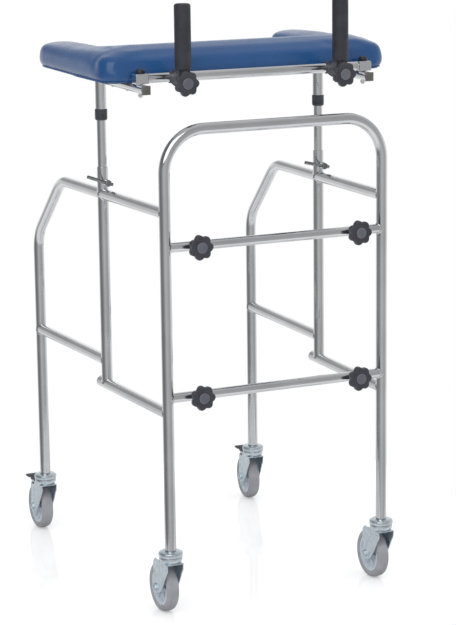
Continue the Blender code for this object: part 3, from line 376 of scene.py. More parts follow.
# %% [markdown]
# ## The metals
#
# Chrome plating is a near-perfect mirror, a touch blue, dulled where it is handled. It could be one
# glossy colour, but then every tube would look cut from the same plastic, so soft patches change its
# roughness. Zinc plating on the casters is duller, with a mottled, bluish skin that is rubbed bright at
# its edges. The clamp screws are plain burnished steel, much darker than the plating round them.

# %% Mix the metals
def start_material(name, metallic=0.0):
    """A new material, its node tree and its shader."""
    material = bpy.data.materials.new(name)
    material.use_nodes = True
    shader = material.node_tree.nodes["Principled BSDF"]
    shader.inputs["Metallic"].default_value = metallic
    return material, material.node_tree, shader


def use_group(tree, group, **settings):
    """Places a group in a material and returns its first output."""
    node = tree.nodes.new("ShaderNodeGroup")
    node.node_tree = group
    for label, number in settings.items():
        node.inputs[label].default_value = number
    return node.outputs[0]


def add_bump(tree, shader, height, strength, distance):
    """Raises the surface in the shading only, by a height."""
    node = tree.nodes.new("ShaderNodeBump")
    node.inputs["Strength"].default_value = strength
    node.inputs["Distance"].default_value = distance
    tree.links.new(height, node.inputs["Height"])
    tree.links.new(node.outputs[0], shader.inputs["Normal"])


chrome, tree, shader = start_material("chrome", 1.0)
haze = use_group(tree, patches, Scale=9.0, Low=0.0, High=1.0)
tree.links.new(mix_node(tree, haze, (0.80, 0.805, 0.82), (0.71, 0.72, 0.745)), shader.inputs["Base Color"])
tree.links.new(use_group(tree, patches, Scale=26.0, Low=0.075, High=0.17), shader.inputs["Roughness"])
add_bump(tree, shader, use_group(tree, patches, Scale=70.0), 0.02, 0.0003)

zinc, tree, shader = start_material("zinc", 1.0)
mottle = use_group(tree, patches, Scale=140.0, Low=0.0, High=1.0)
pale_zinc = mix_node(tree, mottle, (0.70, 0.79, 0.85), (0.57, 0.66, 0.72))
worn = use_group(tree, edge_wear, Start=0.51, Scale=90.0)
tree.links.new(mix_node(tree, worn, pale_zinc, (0.82, 0.86, 0.88)), shader.inputs["Base Color"])
tree.links.new(use_group(tree, patches, Scale=70.0, Low=0.26, High=0.42), shader.inputs["Roughness"])
add_bump(tree, shader, use_group(tree, grain, Scale=700.0), 0.12, 0.0003)

dark_steel, tree, shader = start_material("dark_steel", 1.0)
tones = use_group(tree, patches, Scale=80.0, Low=0.0, High=1.0)
burnished = mix_node(tree, tones, (0.33, 0.33, 0.345), (0.24, 0.24, 0.25))
worn = use_group(tree, edge_wear, Start=0.52, Scale=120.0)
tree.links.new(mix_node(tree, worn, burnished, (0.55, 0.55, 0.56)), shader.inputs["Base Color"])
tree.links.new(use_group(tree, patches, Scale=60.0, Low=0.24, High=0.40), shader.inputs["Roughness"])
add_bump(tree, shader, use_group(tree, grain, Scale=900.0), 0.10, 0.0003)
print("metals:", chrome.name, zinc.name, dark_steel.name)


# %% [markdown]
# ## Plastics and rubber
#
# The knobs and clamps are black moulded plastic with a spark-eroded grain, the grips are a softer black
# sleeve, and the knobs carry a small grey cap. The wheels have grey rubber tyres on pale hubs. All of
# them are one shader with other colours, grain and wear, so a single helper mixes them.

# %% Mix the plastics
def plastic(name, colour, shade, edge, roughness, grain_scale, bump):
    """A moulded finish: two close tones in patches, rubbed edges, a roughness range and a grain."""
    material, tree, shader = start_material(name)
    tones = mix_node(tree, use_group(tree, patches, Scale=45.0), colour, shade)
    rubbed = use_group(tree, edge_wear, Start=0.53, Scale=120.0)
    tree.links.new(mix_node(tree, rubbed, tones, edge), shader.inputs["Base Color"])
    low, high = roughness
    tree.links.new(use_group(tree, patches, Scale=60.0, Low=low, High=high), shader.inputs["Roughness"])
    add_bump(tree, shader, use_group(tree, grain, Scale=grain_scale), bump, 0.0004)
    return material


black_plastic = plastic(
    "black_plastic",
    colour=(0.036, 0.037, 0.048),
    shade=(0.048, 0.049, 0.062),
    edge=(0.12, 0.12, 0.14),
    roughness=(0.34, 0.46),
    grain_scale=1500,
    bump=0.25,
)
glossy_black = plastic(
    "glossy_black",
    colour=(0.014, 0.014, 0.026),
    shade=(0.020, 0.020, 0.034),
    edge=(0.09, 0.09, 0.12),
    roughness=(0.10, 0.20),
    grain_scale=2000,
    bump=0.05,
)
grip_sleeve = plastic(
    "grip_sleeve",
    colour=(0.025, 0.025, 0.034),
    shade=(0.036, 0.037, 0.047),
    edge=(0.06, 0.06, 0.07),
    roughness=(0.50, 0.66),
    grain_scale=1100,
    bump=0.45,
)
knob_cap = plastic(
    "knob_cap",
    colour=(0.130, 0.135, 0.160),
    shade=(0.105, 0.110, 0.130),
    edge=(0.24, 0.24, 0.27),
    roughness=(0.30, 0.42),
    grain_scale=1800,
    bump=0.15,
)
grey_plug = plastic(
    "grey_plug",
    colour=(0.135, 0.125, 0.120),
    shade=(0.105, 0.098, 0.095),
    edge=(0.22, 0.21, 0.20),
    roughness=(0.45, 0.6),
    grain_scale=1400,
    bump=0.25,
)
tyre_rubber = plastic(
    "tyre_rubber",
    colour=(0.400, 0.403, 0.430),
    shade=(0.335, 0.338, 0.362),
    edge=(0.46, 0.46, 0.48),
    roughness=(0.55, 0.75),
    grain_scale=1300,
    bump=0.35,
)
hub_plastic = plastic(
    "hub_plastic",
    colour=(0.62, 0.69, 0.76),
    shade=(0.55, 0.62, 0.69),
    edge=(0.74, 0.79, 0.84),
    roughness=(0.32, 0.45),
    grain_scale=1600,
    bump=0.18,
)
moulded = (black_plastic, glossy_black, grip_sleeve, knob_cap, grey_plug, tyre_rubber, hub_plastic)
print("plastics:", [material.name for material in moulded])


# %% [markdown]
# ## Vinyl and dark plywood
#
# The pad is covered in blue vinyl with an embossed leather grain. Cells a millimetre or two across make
# the pebbles, finer noise the pores, and a large soft noise the slow waves where the sheet is pulled over
# the foam. A thin clear coat gives its shine. The board under it is plywood, coloured a dark blue-grey so
# that it doesn't show. Its face has long fibres and its edge shows the layers as thin bands.

# %% Mix vinyl and the dark board
vinyl, tree, shader = start_material("blue_vinyl")
sheen = use_group(tree, patches, Scale=7.0)
blue = mix_node(tree, sheen, (0.010, 0.072, 0.225), (0.014, 0.086, 0.255))
tree.links.new(blue, shader.inputs["Base Color"])
tree.links.new(use_group(tree, patches, Scale=30.0, Low=0.24, High=0.34), shader.inputs["Roughness"])
pebbles = use_group(tree, grain, Scale=620.0)
waves = use_group(tree, patches, Scale=11.0, Low=0.0, High=2.2)
relief = math_node(tree, "ADD", pebbles, waves)
add_bump(tree, shader, relief, 0.10, 0.0005)
shader.inputs["Coat Weight"].default_value = 0.28
shader.inputs["Coat Roughness"].default_value = 0.13

dark_board, tree, shader = start_material("dark_board")
place = tree.nodes.new("ShaderNodeTexCoord").outputs["Object"]
stretch = tree.nodes.new("ShaderNodeMapping")
stretch.inputs["Scale"].default_value = (18.0, 160.0, 160.0)
tree.links.new(place, stretch.inputs["Vector"])
fibres = noise_node(tree, stretch.outputs[0], 1.0, 6.0)
layers = tree.nodes.new("ShaderNodeTexWave")
layers.bands_direction = "Z"
layers.inputs["Scale"].default_value = 62.0
layers.inputs["Distortion"].default_value = 0.6
tree.links.new(place, layers.inputs["Vector"])
# The board is coloured a dark blue-grey rather than a plywood brown.
wood = mix_node(tree, fibres, (0.060, 0.075, 0.085), (0.030, 0.040, 0.048))
band = math_node(tree, "MULTIPLY", layers.outputs[1], 0.45)
tree.links.new(mix_node(tree, band, wood, (0.016, 0.022, 0.028)), shader.inputs["Base Color"])
tree.links.new(use_group(tree, patches, Scale=50.0, Low=0.5, High=0.7), shader.inputs["Roughness"])
add_bump(tree, shader, fibres, 0.25, 0.0006)
print("soft finishes:", vinyl.name, dark_board.name)


# %% [markdown]
# ## Hand tools
#
# A few short helpers do what a maker does at the bench: take one piece in hand, break its edges, pick
# some of its faces, join it to another, copy it, and hand it over with its finish. They use Blender's
# own operators and modifiers. A piece ends at the origin, with its place in its mesh, so that patterns
# and joints both hold.

# %% Bench helpers
EDGE_ANGLE = 35
SMOOTH_ANGLE = 38
PAD_ANGLE = 60
FINE_EDGE = 0.0003
FACING = 0.9


def take(piece):
    """Makes one piece the only one in hand."""
    if bpy.context.object and bpy.context.object.mode != "OBJECT":
        bpy.ops.object.mode_set(mode="OBJECT")
    bpy.ops.object.select_all(action="DESELECT")
    piece.select_set(True)
    bpy.context.view_layer.objects.active = piece


def settle(piece):
    """Moves a piece's place into its mesh."""
    take(piece)
    bpy.ops.object.transform_apply(location=True, rotation=True, scale=True)


def finish(piece, kind, **settings):
    """Adds a modifier and applies it."""
    take(piece)
    modifier = piece.modifiers.new(kind.lower(), kind)
    for label, value in settings.items():
        setattr(modifier, label, value)
    bpy.ops.object.modifier_apply(modifier=modifier.name)


def soften(piece, width, segments=2, angle=EDGE_ANGLE):
    """Rounds the sharp edges of a piece."""
    finish(
        piece,
        "BEVEL",
        width=width,
        segments=segments,
        limit_method="ANGLE",
        angle_limit=math.radians(angle),
        use_clamp_overlap=True,
    )


def pick_faces(piece, wanted):
    """Opens a piece in edit mode with only the wanted faces selected."""
    take(piece)
    bpy.ops.object.mode_set(mode="EDIT")
    bpy.ops.mesh.select_mode(type="FACE")
    bpy.ops.mesh.select_all(action="DESELECT")
    bpy.ops.object.mode_set(mode="OBJECT")
    for face in piece.data.polygons:
        face.select = bool(wanted(face))
    bpy.ops.object.mode_set(mode="EDIT")


def face_outwards(piece):
    """Turns every face of a closed piece to the outside."""
    take(piece)
    bpy.ops.object.mode_set(mode="EDIT")
    bpy.ops.mesh.select_all(action="SELECT")
    bpy.ops.mesh.normals_make_consistent(inside=False)
    bpy.ops.object.mode_set(mode="OBJECT")


def join(pieces, name):
    """Joins pieces into the first one."""
    take(pieces[0])
    for piece in pieces:
        piece.select_set(True)
    bpy.ops.object.join()
    pieces[0].name = name
    return pieces[0]


def copy_of(piece, name, place=None):
    """A copy with its own mesh, moved by a matrix."""
    take(piece)
    bpy.ops.object.duplicate(linked=False)
    copy = bpy.context.object
    copy.name = name
    if place:
        copy.matrix_world = place
        settle(copy)
    return copy


def hand_over(piece, body, material, replaced=(), angle=SMOOTH_ANGLE):
    """Gives a piece its finish, its shading and its body, and hides the solids that it stands for."""
    if material:
        piece.data.materials.clear()
        piece.data.materials.append(material)
    settle(piece)
    bpy.ops.object.shade_smooth_by_angle(angle=math.radians(angle))
    if angle < PAD_ANGLE:
        finish(piece, "WEIGHTED_NORMAL", keep_sharp=True)
    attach(piece, body)
    for node in replaced:
        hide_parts(node)
    return piece


print("bench helpers ready")


# %% [markdown]
# ## Turning and bending
#
# A lathe makes most small parts here. Turned pieces start as a circle that is extruded and scaled ring by
# ring up the outline, which needs no cross-section drawn first. Tubes start as a circle too: straight
# runs are extruded and bends are spun about their centre, exactly as a tube bender does it, and a
# Solidify modifier gives the wall. A plate is a filled circle whose corners are moved onto an outline
# before it is extruded.

# %% Lathe, plate cutter and tube bender
TINY = 1e-7
RIGHT_ANGLE_STEPS = 24
FEWEST_STEPS = 6


def turned(name, outline, sides=48, place=None, hollow=False):
    """A turned piece from (radius, height) points. A hollow one joins its last ring to its first."""
    radius, height = outline[0]
    bpy.ops.mesh.primitive_circle_add(
        vertices=sides, radius=radius, location=(0, 0, height), fill_type="NOTHING" if hollow else "NGON"
    )
    piece = bpy.context.object
    piece.name = name
    settle(piece)
    bpy.ops.object.mode_set(mode="EDIT")
    bpy.ops.mesh.select_mode(type="VERT")
    bpy.ops.mesh.select_all(action="SELECT")
    for next_radius, next_height in outline[1:]:
        move = (0, 0, next_height - height)
        bpy.ops.mesh.extrude_region_move(TRANSFORM_OT_translate={"value": move})
        if abs(next_radius - radius) > TINY:
            grow = next_radius / radius
            bpy.ops.transform.resize(value=(grow, grow, 1), center_override=(0, 0, next_height))
        radius, height = next_radius, next_height
    if hollow:
        bpy.ops.mesh.select_all(action="DESELECT")
        bpy.ops.mesh.select_mode(type="EDGE")
        bpy.ops.mesh.select_non_manifold()
        bpy.ops.mesh.bridge_edge_loops()
        bpy.ops.mesh.select_mode(type="VERT")
    bpy.ops.object.mode_set(mode="OBJECT")
    face_outwards(piece)
    if place:
        piece.matrix_world = place
        settle(piece)
    return piece


def plate(name, outline, half_width):
    """A flat outline of (y, z) points, cut from a sheet that reaches half_width to both sides of x = 0."""
    bpy.ops.mesh.primitive_circle_add(vertices=len(outline), radius=1, fill_type="NGON")
    piece = bpy.context.object
    piece.name = name
    for corner, (y, z) in zip(piece.data.vertices, outline):
        corner.co = (-half_width, y, z)
    bpy.ops.object.mode_set(mode="EDIT")
    bpy.ops.mesh.select_all(action="SELECT")
    bpy.ops.mesh.extrude_region_move(TRANSFORM_OT_translate={"value": (2 * half_width, 0, 0)})
    bpy.ops.object.mode_set(mode="OBJECT")
    face_outwards(piece)
    return piece


def bent_tube(name, corners, radius, wall, bend_radius=0.08, sides=48):
    """A round tube along straight runs, with a spun bend at every corner between the ends."""
    heading = (corners[1] - corners[0]).normalized()
    point = corners[0].copy()
    bpy.ops.mesh.primitive_circle_add(
        vertices=sides, radius=radius, location=point, rotation=heading.to_track_quat("Z", "Y").to_euler()
    )
    piece = bpy.context.object
    piece.name = name
    settle(piece)
    bpy.ops.object.mode_set(mode="EDIT")
    bpy.ops.mesh.select_mode(type="VERT")
    bpy.ops.mesh.select_all(action="SELECT")
    for corner, after in zip(corners[1:], corners[2:]):
        out = (after - corner).normalized()
        angle = heading.angle(out)
        run = (corner - point).length - bend_radius * math.tan(angle / 2)
        bpy.ops.mesh.extrude_region_move(TRANSFORM_OT_translate={"value": tuple(heading * run)})
        point += heading * run
        axis = heading.cross(out).normalized()
        centre = point + axis.cross(heading) * bend_radius
        steps = max(FEWEST_STEPS, round(RIGHT_ANGLE_STEPS * angle / (math.pi / 2)))
        bpy.ops.mesh.spin(steps=steps, angle=-angle, center=centre, axis=axis)
        point = centre + Matrix.Rotation(angle, 3, axis) @ (point - centre)
        heading = out
    bpy.ops.mesh.extrude_region_move(TRANSFORM_OT_translate={"value": tuple(corners[-1] - point)})
    bpy.ops.object.mode_set(mode="OBJECT")
    face_outwards(piece)
    finish(piece, "SOLIDIFY", thickness=wall, offset=-1)
    return piece


print("lathe, plate cutter and tube bender ready")


# %% [markdown]
# ## The front hoop and its crossbars
#
# Both front legs and the top bar are one tube, bent twice. Drawing it in one go keeps the bends smooth
# and the tube unbroken, as on the real frame. The two crossbars are straight tubes whose ends reach into
# the legs, where a bead of weld will cover the joint.

# %% Bend the front hoop
TUBE_R = 0.0111
TUBE_WALL = 0.0015
BAR_R = 0.0095
HOOP_BEND_R = 0.082
LEG_BOTTOM_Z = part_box("front_frame")[0][2]
HOOP_TOP_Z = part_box("front_frame")[1][2] - TUBE_R
FRONT_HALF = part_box("front_frame")[1][0] - TUBE_R

hoop = bent_tube(
    "front_hoop",
    [
        Vector((-FRONT_HALF, FRONT_Y, LEG_BOTTOM_Z)),
        Vector((-FRONT_HALF, FRONT_Y, HOOP_TOP_Z)),
        Vector((FRONT_HALF, FRONT_Y, HOOP_TOP_Z)),
        Vector((FRONT_HALF, FRONT_Y, LEG_BOTTOM_Z)),
    ],
    TUBE_R,
    TUBE_WALL,
    bend_radius=HOOP_BEND_R,
)
hand_over(hoop, "frame", chrome, ["front_frame"])

for level_name in ("upper", "lower"):
    bar_z = middle("crossbar_" + level_name).z
    bar = bent_tube(
        "front_bar_" + level_name,
        [Vector((-FRONT_HALF, FRONT_Y, bar_z)), Vector((FRONT_HALF, FRONT_Y, bar_z))],
        BAR_R,
        TUBE_WALL,
    )
    hand_over(bar, "frame", chrome, ["crossbar_" + level_name])
print("hoop top:", round(HOOP_TOP_Z, 3), "half width:", round(FRONT_HALF, 3))


# %% [markdown]
# ## The side frames
#
# Each side is a rail that leaves the front leg, bends down twice and becomes the rear leg. The sides
# splay outwards to the rear, so a point on one is given by how far back it lies, and its sideways place
# follows. Two short rails stiffen the lower half, and the height post stands between them.

# %% Bend the side frames and rails
HANDS = (("left", -1), ("right", 1))
DEPTH = 0.640
REAR_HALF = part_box("side_frame_right")[1][0] - TUBE_R
SIDE_TOP_Z = 0.800
SIDE_BEND_R = 0.075
SLOPE_START = 0.503
SLOPE_END_Z = 0.666
REAR_RAIL_Z = 0.457
FRONT_RAIL_Z = 0.408
FRONT_RAIL_END = 0.316
POST_Y = 0.289


def on_side(hand, back, z):
    """A point on a side frame, from how far it lies behind the front legs."""
    across = FRONT_HALF + (REAR_HALF - FRONT_HALF) * back / DEPTH
    return Vector((hand * across, FRONT_Y + back, z))


for word, hand in HANDS:
    side = bent_tube(
        "side_rail_and_leg_" + word,
        [
            on_side(hand, 0, SIDE_TOP_Z),
            on_side(hand, SLOPE_START, SIDE_TOP_Z),
            on_side(hand, DEPTH, SLOPE_END_Z),
            on_side(hand, DEPTH, LEG_BOTTOM_Z),
        ],
        TUBE_R,
        TUBE_WALL,
        bend_radius=SIDE_BEND_R,
    )
    hand_over(side, "frame", chrome, ["side_frame_" + word])
    rear = bent_tube(
        "rear_brace_" + word,
        [on_side(hand, POST_Y, REAR_RAIL_Z), on_side(hand, DEPTH, REAR_RAIL_Z)],
        TUBE_R,
        TUBE_WALL,
    )
    hand_over(rear, "frame", chrome, ["rear_rail_" + word])
    front = bent_tube(
        "front_brace_" + word,
        [on_side(hand, 0, FRONT_RAIL_Z), on_side(hand, FRONT_RAIL_END, FRONT_RAIL_Z)],
        TUBE_R,
        TUBE_WALL,
    )
    hand_over(front, "frame", chrome, ["front_rail_" + word])
print("side rails from", round(on_side(1, 0, 0).x, 3), "to", round(on_side(1, DEPTH, 0).x, 3), "m out")


# %% [markdown]
# ## The height posts
#
# The armrest slides in two upright posts. Above the side rail a short sleeve guides it, and a nut welded
# to the sleeve takes the clamp screw. A post could be one long tube, but the side rail really passes
# between post and sleeve, so they are two tubes that end inside it.

# %% Stand the posts
SLEEVE_TOP_Z = 0.855
SCREW_Z = 0.825
NUT_LENGTH = 0.008
NUT_SUNK = 0.003
FRONTWARDS = Matrix.Rotation(math.pi / 2, 4, "X")
BACKWARDS = Matrix.Rotation(math.pi, 4, "Y") @ Matrix.Rotation(math.pi / 2, 4, "X")


def nut_face(hand):
    """The middle of the nut's front face."""
    return on_side(hand, POST_Y, SCREW_Z) - Vector((0, TUBE_R + NUT_LENGTH, 0))


for word, hand in HANDS:
    post = bent_tube(
        "height_post_" + word,
        [on_side(hand, POST_Y, FRONT_RAIL_Z), on_side(hand, POST_Y, SIDE_TOP_Z)],
        TUBE_R,
        TUBE_WALL,
    )
    hand_over(post, "frame", chrome, ["post_" + word])
    sleeve = bent_tube(
        "guide_sleeve_" + word,
        [on_side(hand, POST_Y, SIDE_TOP_Z), on_side(hand, POST_Y, SLEEVE_TOP_Z)],
        TUBE_R,
        TUBE_WALL,
    )
    soften(sleeve, 0.0004)
    nut = turned(
        "nut",
        [(0.0068, 0), (0.0068, 0.0004), (0.0075, 0.0008), (0.0075, NUT_LENGTH + NUT_SUNK)],
        sides=6,
        place=Matrix.Translation(nut_face(hand)) @ BACKWARDS,
    )
    soften(nut, FINE_EDGE)
    sleeve = join([sleeve, nut], "guide_sleeve_" + word)
    hand_over(sleeve, "frame", chrome, ["post_sleeve_" + word])
print("posts stand at", round(on_side(1, POST_Y, 0).x, 3), "m from the middle")


# %% [markdown]
# ## Weld beads
#
# Where one tube meets another, the real frame has a small fillet of weld under the plating. A torus of
# the smaller tube's size is laid round the joint, and each of its points is moved out to the skin of
# the larger tube, so the bead follows the saddle line. A slight ripple keeps it from looking machined.

# %% Run the weld beads
BEAD_LIFT = 0.0002
RIPPLE = 0.0004
RIPPLE_SCALE = 700
STEEPEST_SIDE = 0.985


def weld_bead(on_axis, out, along, small_r, large_r=TUBE_R, thickness=0.0017):
    """A bead round a tube that leaves a larger tube's axis in the direction out."""
    across = out.cross(along).normalized()
    place = Matrix((along, across, out)).transposed().to_4x4()
    bpy.ops.mesh.primitive_torus_add(
        major_radius=small_r + BEAD_LIFT, minor_radius=thickness, major_segments=56, minor_segments=10
    )
    bead = bpy.context.object
    for corner in bead.data.vertices:
        side = max(-large_r * STEEPEST_SIDE, min(large_r * STEEPEST_SIDE, corner.co.y))
        corner.co.z += math.sqrt(large_r ** 2 - side ** 2)
        corner.co += corner.normal * RIPPLE * noise.noise(corner.co * RIPPLE_SCALE)
    bead.matrix_world = Matrix.Translation(on_axis) @ place
    settle(bead)
    return bead


beads = []
UP = Vector((0, 0, 1))
for word, hand in HANDS:
    back = (on_side(hand, DEPTH, 0) - on_side(hand, 0, 0)).normalized()
    inward = Vector((-hand, 0, 0))
    for level_name in ("upper", "lower"):
        bar_z = middle("crossbar_" + level_name).z
        beads.append(weld_bead(Vector((hand * FRONT_HALF, FRONT_Y, bar_z)), inward, UP, BAR_R))
    beads.append(weld_bead(on_side(hand, 0, SIDE_TOP_Z), back, UP, TUBE_R))
    beads.append(weld_bead(on_side(hand, 0, FRONT_RAIL_Z), back, UP, TUBE_R))
    beads.append(weld_bead(on_side(hand, POST_Y, REAR_RAIL_Z), back, UP, TUBE_R))
    beads.append(weld_bead(on_side(hand, DEPTH, REAR_RAIL_Z), -back, UP, TUBE_R))
    beads.append(weld_bead(on_side(hand, POST_Y, FRONT_RAIL_Z), UP, back, TUBE_R))
    beads.append(weld_bead(on_side(hand, POST_Y, SIDE_TOP_Z), -UP, back, TUBE_R))
    beads.append(weld_bead(on_side(hand, POST_Y, SIDE_TOP_Z), UP, back, TUBE_R))
welds = join(beads, "frame_welds")
hand_over(welds, "frame", chrome)
print("beads:", len(beads))


# %% [markdown]
# ## End plugs of the front braces
#
# The lower rails run a little past the posts and end in grey push-in plugs, each with a thin round cap.

# %% Press in the plugs
for word, hand in HANDS:
    end = on_side(hand, FRONT_RAIL_END, FRONT_RAIL_Z)
    back = (end - on_side(hand, 0, FRONT_RAIL_Z)).normalized()
    plug = turned(
        "brace_plug_" + word,
        [
            (0.0088, -0.010),
            (0.0090, 0.0001),
            (TUBE_R, 0.0003),
            (TUBE_R, 0.0014),
            (0.0103, 0.0024),
            (0.0070, 0.0030),
        ],
        place=Matrix.Translation(end) @ back.to_track_quat("Z", "X").to_matrix().to_4x4(),
    )
    soften(plug, FINE_EDGE)
    hand_over(plug, "frame", grey_plug, ["front_rail_plug_" + word])
print("plugs: 2")


# %% [markdown]
# ## Clamp screws with tommy bars
#
# A screw through the welded nut holds the armrest at its height. A short bar slides through its head and
# serves as the handle. The head is turned, the bar is a thin rod with two rounded ends, and both move
# together about the screw's axis.

# %% Turn the clamp screws
TOMMY_OUT = 0.0085
TOMMY_TILT = {"left": 20, "right": 13}

for word, hand in HANDS:
    screw = turned(
        "clamp_screw_" + word,
        [
            (0.0034, -0.0098),
            (0.0040, -0.0092),
            (0.0040, 0.0030),
            (0.0052, 0.0032),
            (0.0065, 0.0042),
            (0.0065, 0.0128),
            (0.0056, 0.0138),
            (0.0030, 0.0140),
        ],
        sides=32,
        place=Matrix.Translation(nut_face(hand)) @ FRONTWARDS,
    )
    soften(screw, FINE_EDGE)
    tilt = math.radians(TOMMY_TILT[word])
    reach = Vector((-math.cos(tilt), 0, math.sin(tilt)))
    centre = nut_face(hand) - Vector((0, TOMMY_OUT, 0))
    tommy = turned(
        "tommy_bar",
        [
            (0.0018, -0.0120),
            (0.0031, -0.0112),
            (0.0035, -0.0100),
            (0.0035, 0.0450),
            (0.0031, 0.0462),
            (0.0018, 0.0470),
        ],
        sides=28,
        place=Matrix.Translation(centre) @ reach.to_track_quat("Z", "Y").to_matrix().to_4x4(),
    )
    clamp = join([screw, tommy], "clamp_screw_" + word)
    hand_over(clamp, "post_clamp_" + word, dark_steel, ["post_clamp_" + word])
print("clamp screws: 2")


# %% [markdown]
# ## Star knobs
#
# Six black star knobs clamp the crossbars and the hand grips. The star is turned as a round disc with
# soft shoulders first, and then each ring is pulled in between seven lobes, so the shoulders stay soft
# all round. A small grey cap closes the middle, and a cone behind it runs down to the screw.

# %% Make the star knobs
KNOB_R = 0.025
VALLEY_R = 0.0205
FLAT_R = 0.0130
KNOB_THICKNESS = 0.014
CAP_RISE = 0.0012
GRIP_BOSS = 0.0022
BAR_BOSS = 0.0092
LOBES = 7
LOBE_SIDES = 14
LOBE_ROUNDNESS = 0.6


def star_knob(name, boss):
    """A knob on its own axis: the cone ends at z = 0 and the star starts at z = boss."""
    front = boss + KNOB_THICKNESS
    disc = turned(
        name,
        [
            (0.0120, boss),
            (0.0222, boss + 0.0001),
            (0.0236, boss + 0.0007),
            (0.0246, boss + 0.0019),
            (KNOB_R, boss + 0.0034),
            (KNOB_R, front - 0.0042),
            (0.0247, front - 0.0027),
            (0.0240, front - 0.0014),
            (0.0229, front - 0.0005),
            (0.0212, front),
            (0.0165, front + 0.0001),
            (0.0128, front - 0.0004),
            (0.0116, front - 0.0010),
        ],
        sides=LOBES * LOBE_SIDES,
    )
    for corner in disc.data.vertices:
        radius = math.hypot(corner.co.x, corner.co.y)
        wave = 0.5 + 0.5 * math.cos(LOBES * math.atan2(corner.co.y, corner.co.x))
        pull = max(0.0, (radius - FLAT_R) / (KNOB_R - FLAT_R))
        lobed = radius - (KNOB_R - VALLEY_R) * (1 - wave ** LOBE_ROUNDNESS) * pull
        corner.co.x *= lobed / radius
        corner.co.y *= lobed / radius
    cone = turned(
        "cone",
        [(0.0030, -0.006), (0.0030, 0.0), (0.0074, 0.0002), (0.0080, 0.0008), (0.0122, boss + 0.0004)],
        sides=40,
    )
    knob = join([disc, cone], name)
    knob.data.materials.append(black_plastic)
    knob.data.materials.append(knob_cap)
    cap = turned(
        "cap",
        [
            (0.0108, front - 0.0016),
            (0.0108, front + 0.0002),
            (0.0103, front + 0.0008),
            (0.0085, front + CAP_RISE),
        ],
    )
    cap.data.materials.append(knob_cap)
    return join([knob, cap], name)


first_knob = {}
for node in sorted(nodes):
    if "_knob_" not in node:
        continue
    on_grip = node.startswith("grip")
    boss = GRIP_BOSS if on_grip else BAR_BOSS
    joint = next(joint for joint in frame["joints"] if joint["child"] == node)
    place = Matrix.Translation(joint["pos_m"]) @ FRONTWARDS
    place.translation.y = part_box(node)[0][1] + CAP_RISE + KNOB_THICKNESS + boss
    if on_grip not in first_knob:
        first_knob[on_grip] = star_knob("knob_pattern", boss)
    knob = copy_of(first_knob[on_grip], "star_" + node, place)
    hand_over(knob, node, None, [node])
for pattern in first_knob.values():
    bpy.data.objects.remove(pattern)


# %% [markdown]
# ## The armrest carriage
#
# The pad, its two rails and the cross tube move up and down as one. Inner tubes drop into the posts,
# black collars finish them, and sockets under the rails take their tops. The rails lean up by a degree
# towards the back, so their ends are worked out from that angle.

# %% Build the carriage tubes
CARRIAGE_X = 0.2415
CARRIAGE_Z = 1.029
CARRIAGE_TILT = math.radians(0.9)
CROSS_BACK = 0.090
CROSS_Y = FRONT_Y + CROSS_BACK
CROSS_Z = middle("cross_tube").z
INNER_R = 0.00925
INNER_BOTTOM_Z = 0.655
INNER_TOP_Z = 1.008
RAIL_START = 0.064
RAIL_END = 0.450
GAP = 0.0003
RUN_GAP = 0.0004


def rail_point(hand, back):
    """A point on the axis of an armrest rail, from how far it lies behind the front legs."""
    rise = (back - CROSS_BACK) * math.tan(CARRIAGE_TILT)
    return Vector((hand * CARRIAGE_X, FRONT_Y + back, CARRIAGE_Z + rise))


socket_beads = []
for word, hand in HANDS:
    inner = bent_tube(
        "inner_tube_" + word,
        [on_side(hand, POST_Y, INNER_BOTTOM_Z), on_side(hand, POST_Y, INNER_TOP_Z)],
        INNER_R,
        TUBE_WALL,
    )
    hand_over(inner, "carriage", chrome, ["inner_post_" + word])
    low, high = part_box("post_collar_" + word)
    tall = high[2] - low[2]
    collar = turned(
        "collar_" + word,
        [
            (INNER_R + GAP, 0),
            (0.0108, 0),
            (0.0117, 0.0012),
            (0.0125, 0.0038),
            (0.0125, tall - 0.0010),
            (0.0117, tall),
            (INNER_R + GAP, tall),
        ],
        place=Matrix.Translation(on_side(hand, POST_Y, low[2])),
        hollow=True,
    )
    hand_over(collar, "carriage", black_plastic, ["post_collar_" + word])
    under_rail = rail_point(hand, POST_Y)
    socket = bent_tube(
        "rail_socket_" + word,
        [on_side(hand, POST_Y, high[2] + GAP), on_side(hand, POST_Y, under_rail.z)],
        TUBE_R,
        TUBE_R - INNER_R - GAP,
    )
    soften(socket, 0.0004)
    hand_over(socket, "carriage", chrome, ["upper_socket_" + word])
    rail = bent_tube(
        "forearm_rail_" + word,
        [rail_point(hand, RAIL_START), rail_point(hand, RAIL_END)],
        BAR_R,
        TUBE_WALL,
    )
    soften(rail, FINE_EDGE)
    hand_over(rail, "carriage", chrome, ["armrest_rail_" + word])
    on_rail = on_side(hand, POST_Y, under_rail.z)
    socket_beads.append(weld_bead(on_rail, -UP, Vector((0, 1, 0)), TUBE_R, BAR_R, 0.0015))
hand_over(join(socket_beads, "socket_welds"), "carriage", chrome)

low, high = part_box("cross_tube")
cross = bent_tube(
    "grip_tube",
    [Vector((low[0], CROSS_Y, CROSS_Z)), Vector((high[0], CROSS_Y, CROSS_Z))],
    BAR_R,
    TUBE_WALL,
)
hand_over(cross, "carriage", chrome, ["cross_tube"])
print("cross tube at", round(CROSS_Y, 3), round(CROSS_Z, 4))


# %% [markdown]
# ## Square plugs of the armrest rails
#
# The front ends of the rails are closed with square push-in caps that stand a little over the round
# tube. A cube that is inset and pushed out at its front gets the stepped, pillowed face of a moulded cap.

# %% Press in the square plugs
CAP_SIDE = 0.0176
CAP_DEPTH = 0.0027
CAP_MIDDLE = 0.00165
CAP_RIM = 0.0026
CAP_STEP = 0.0007
STEM_START = 0.0010

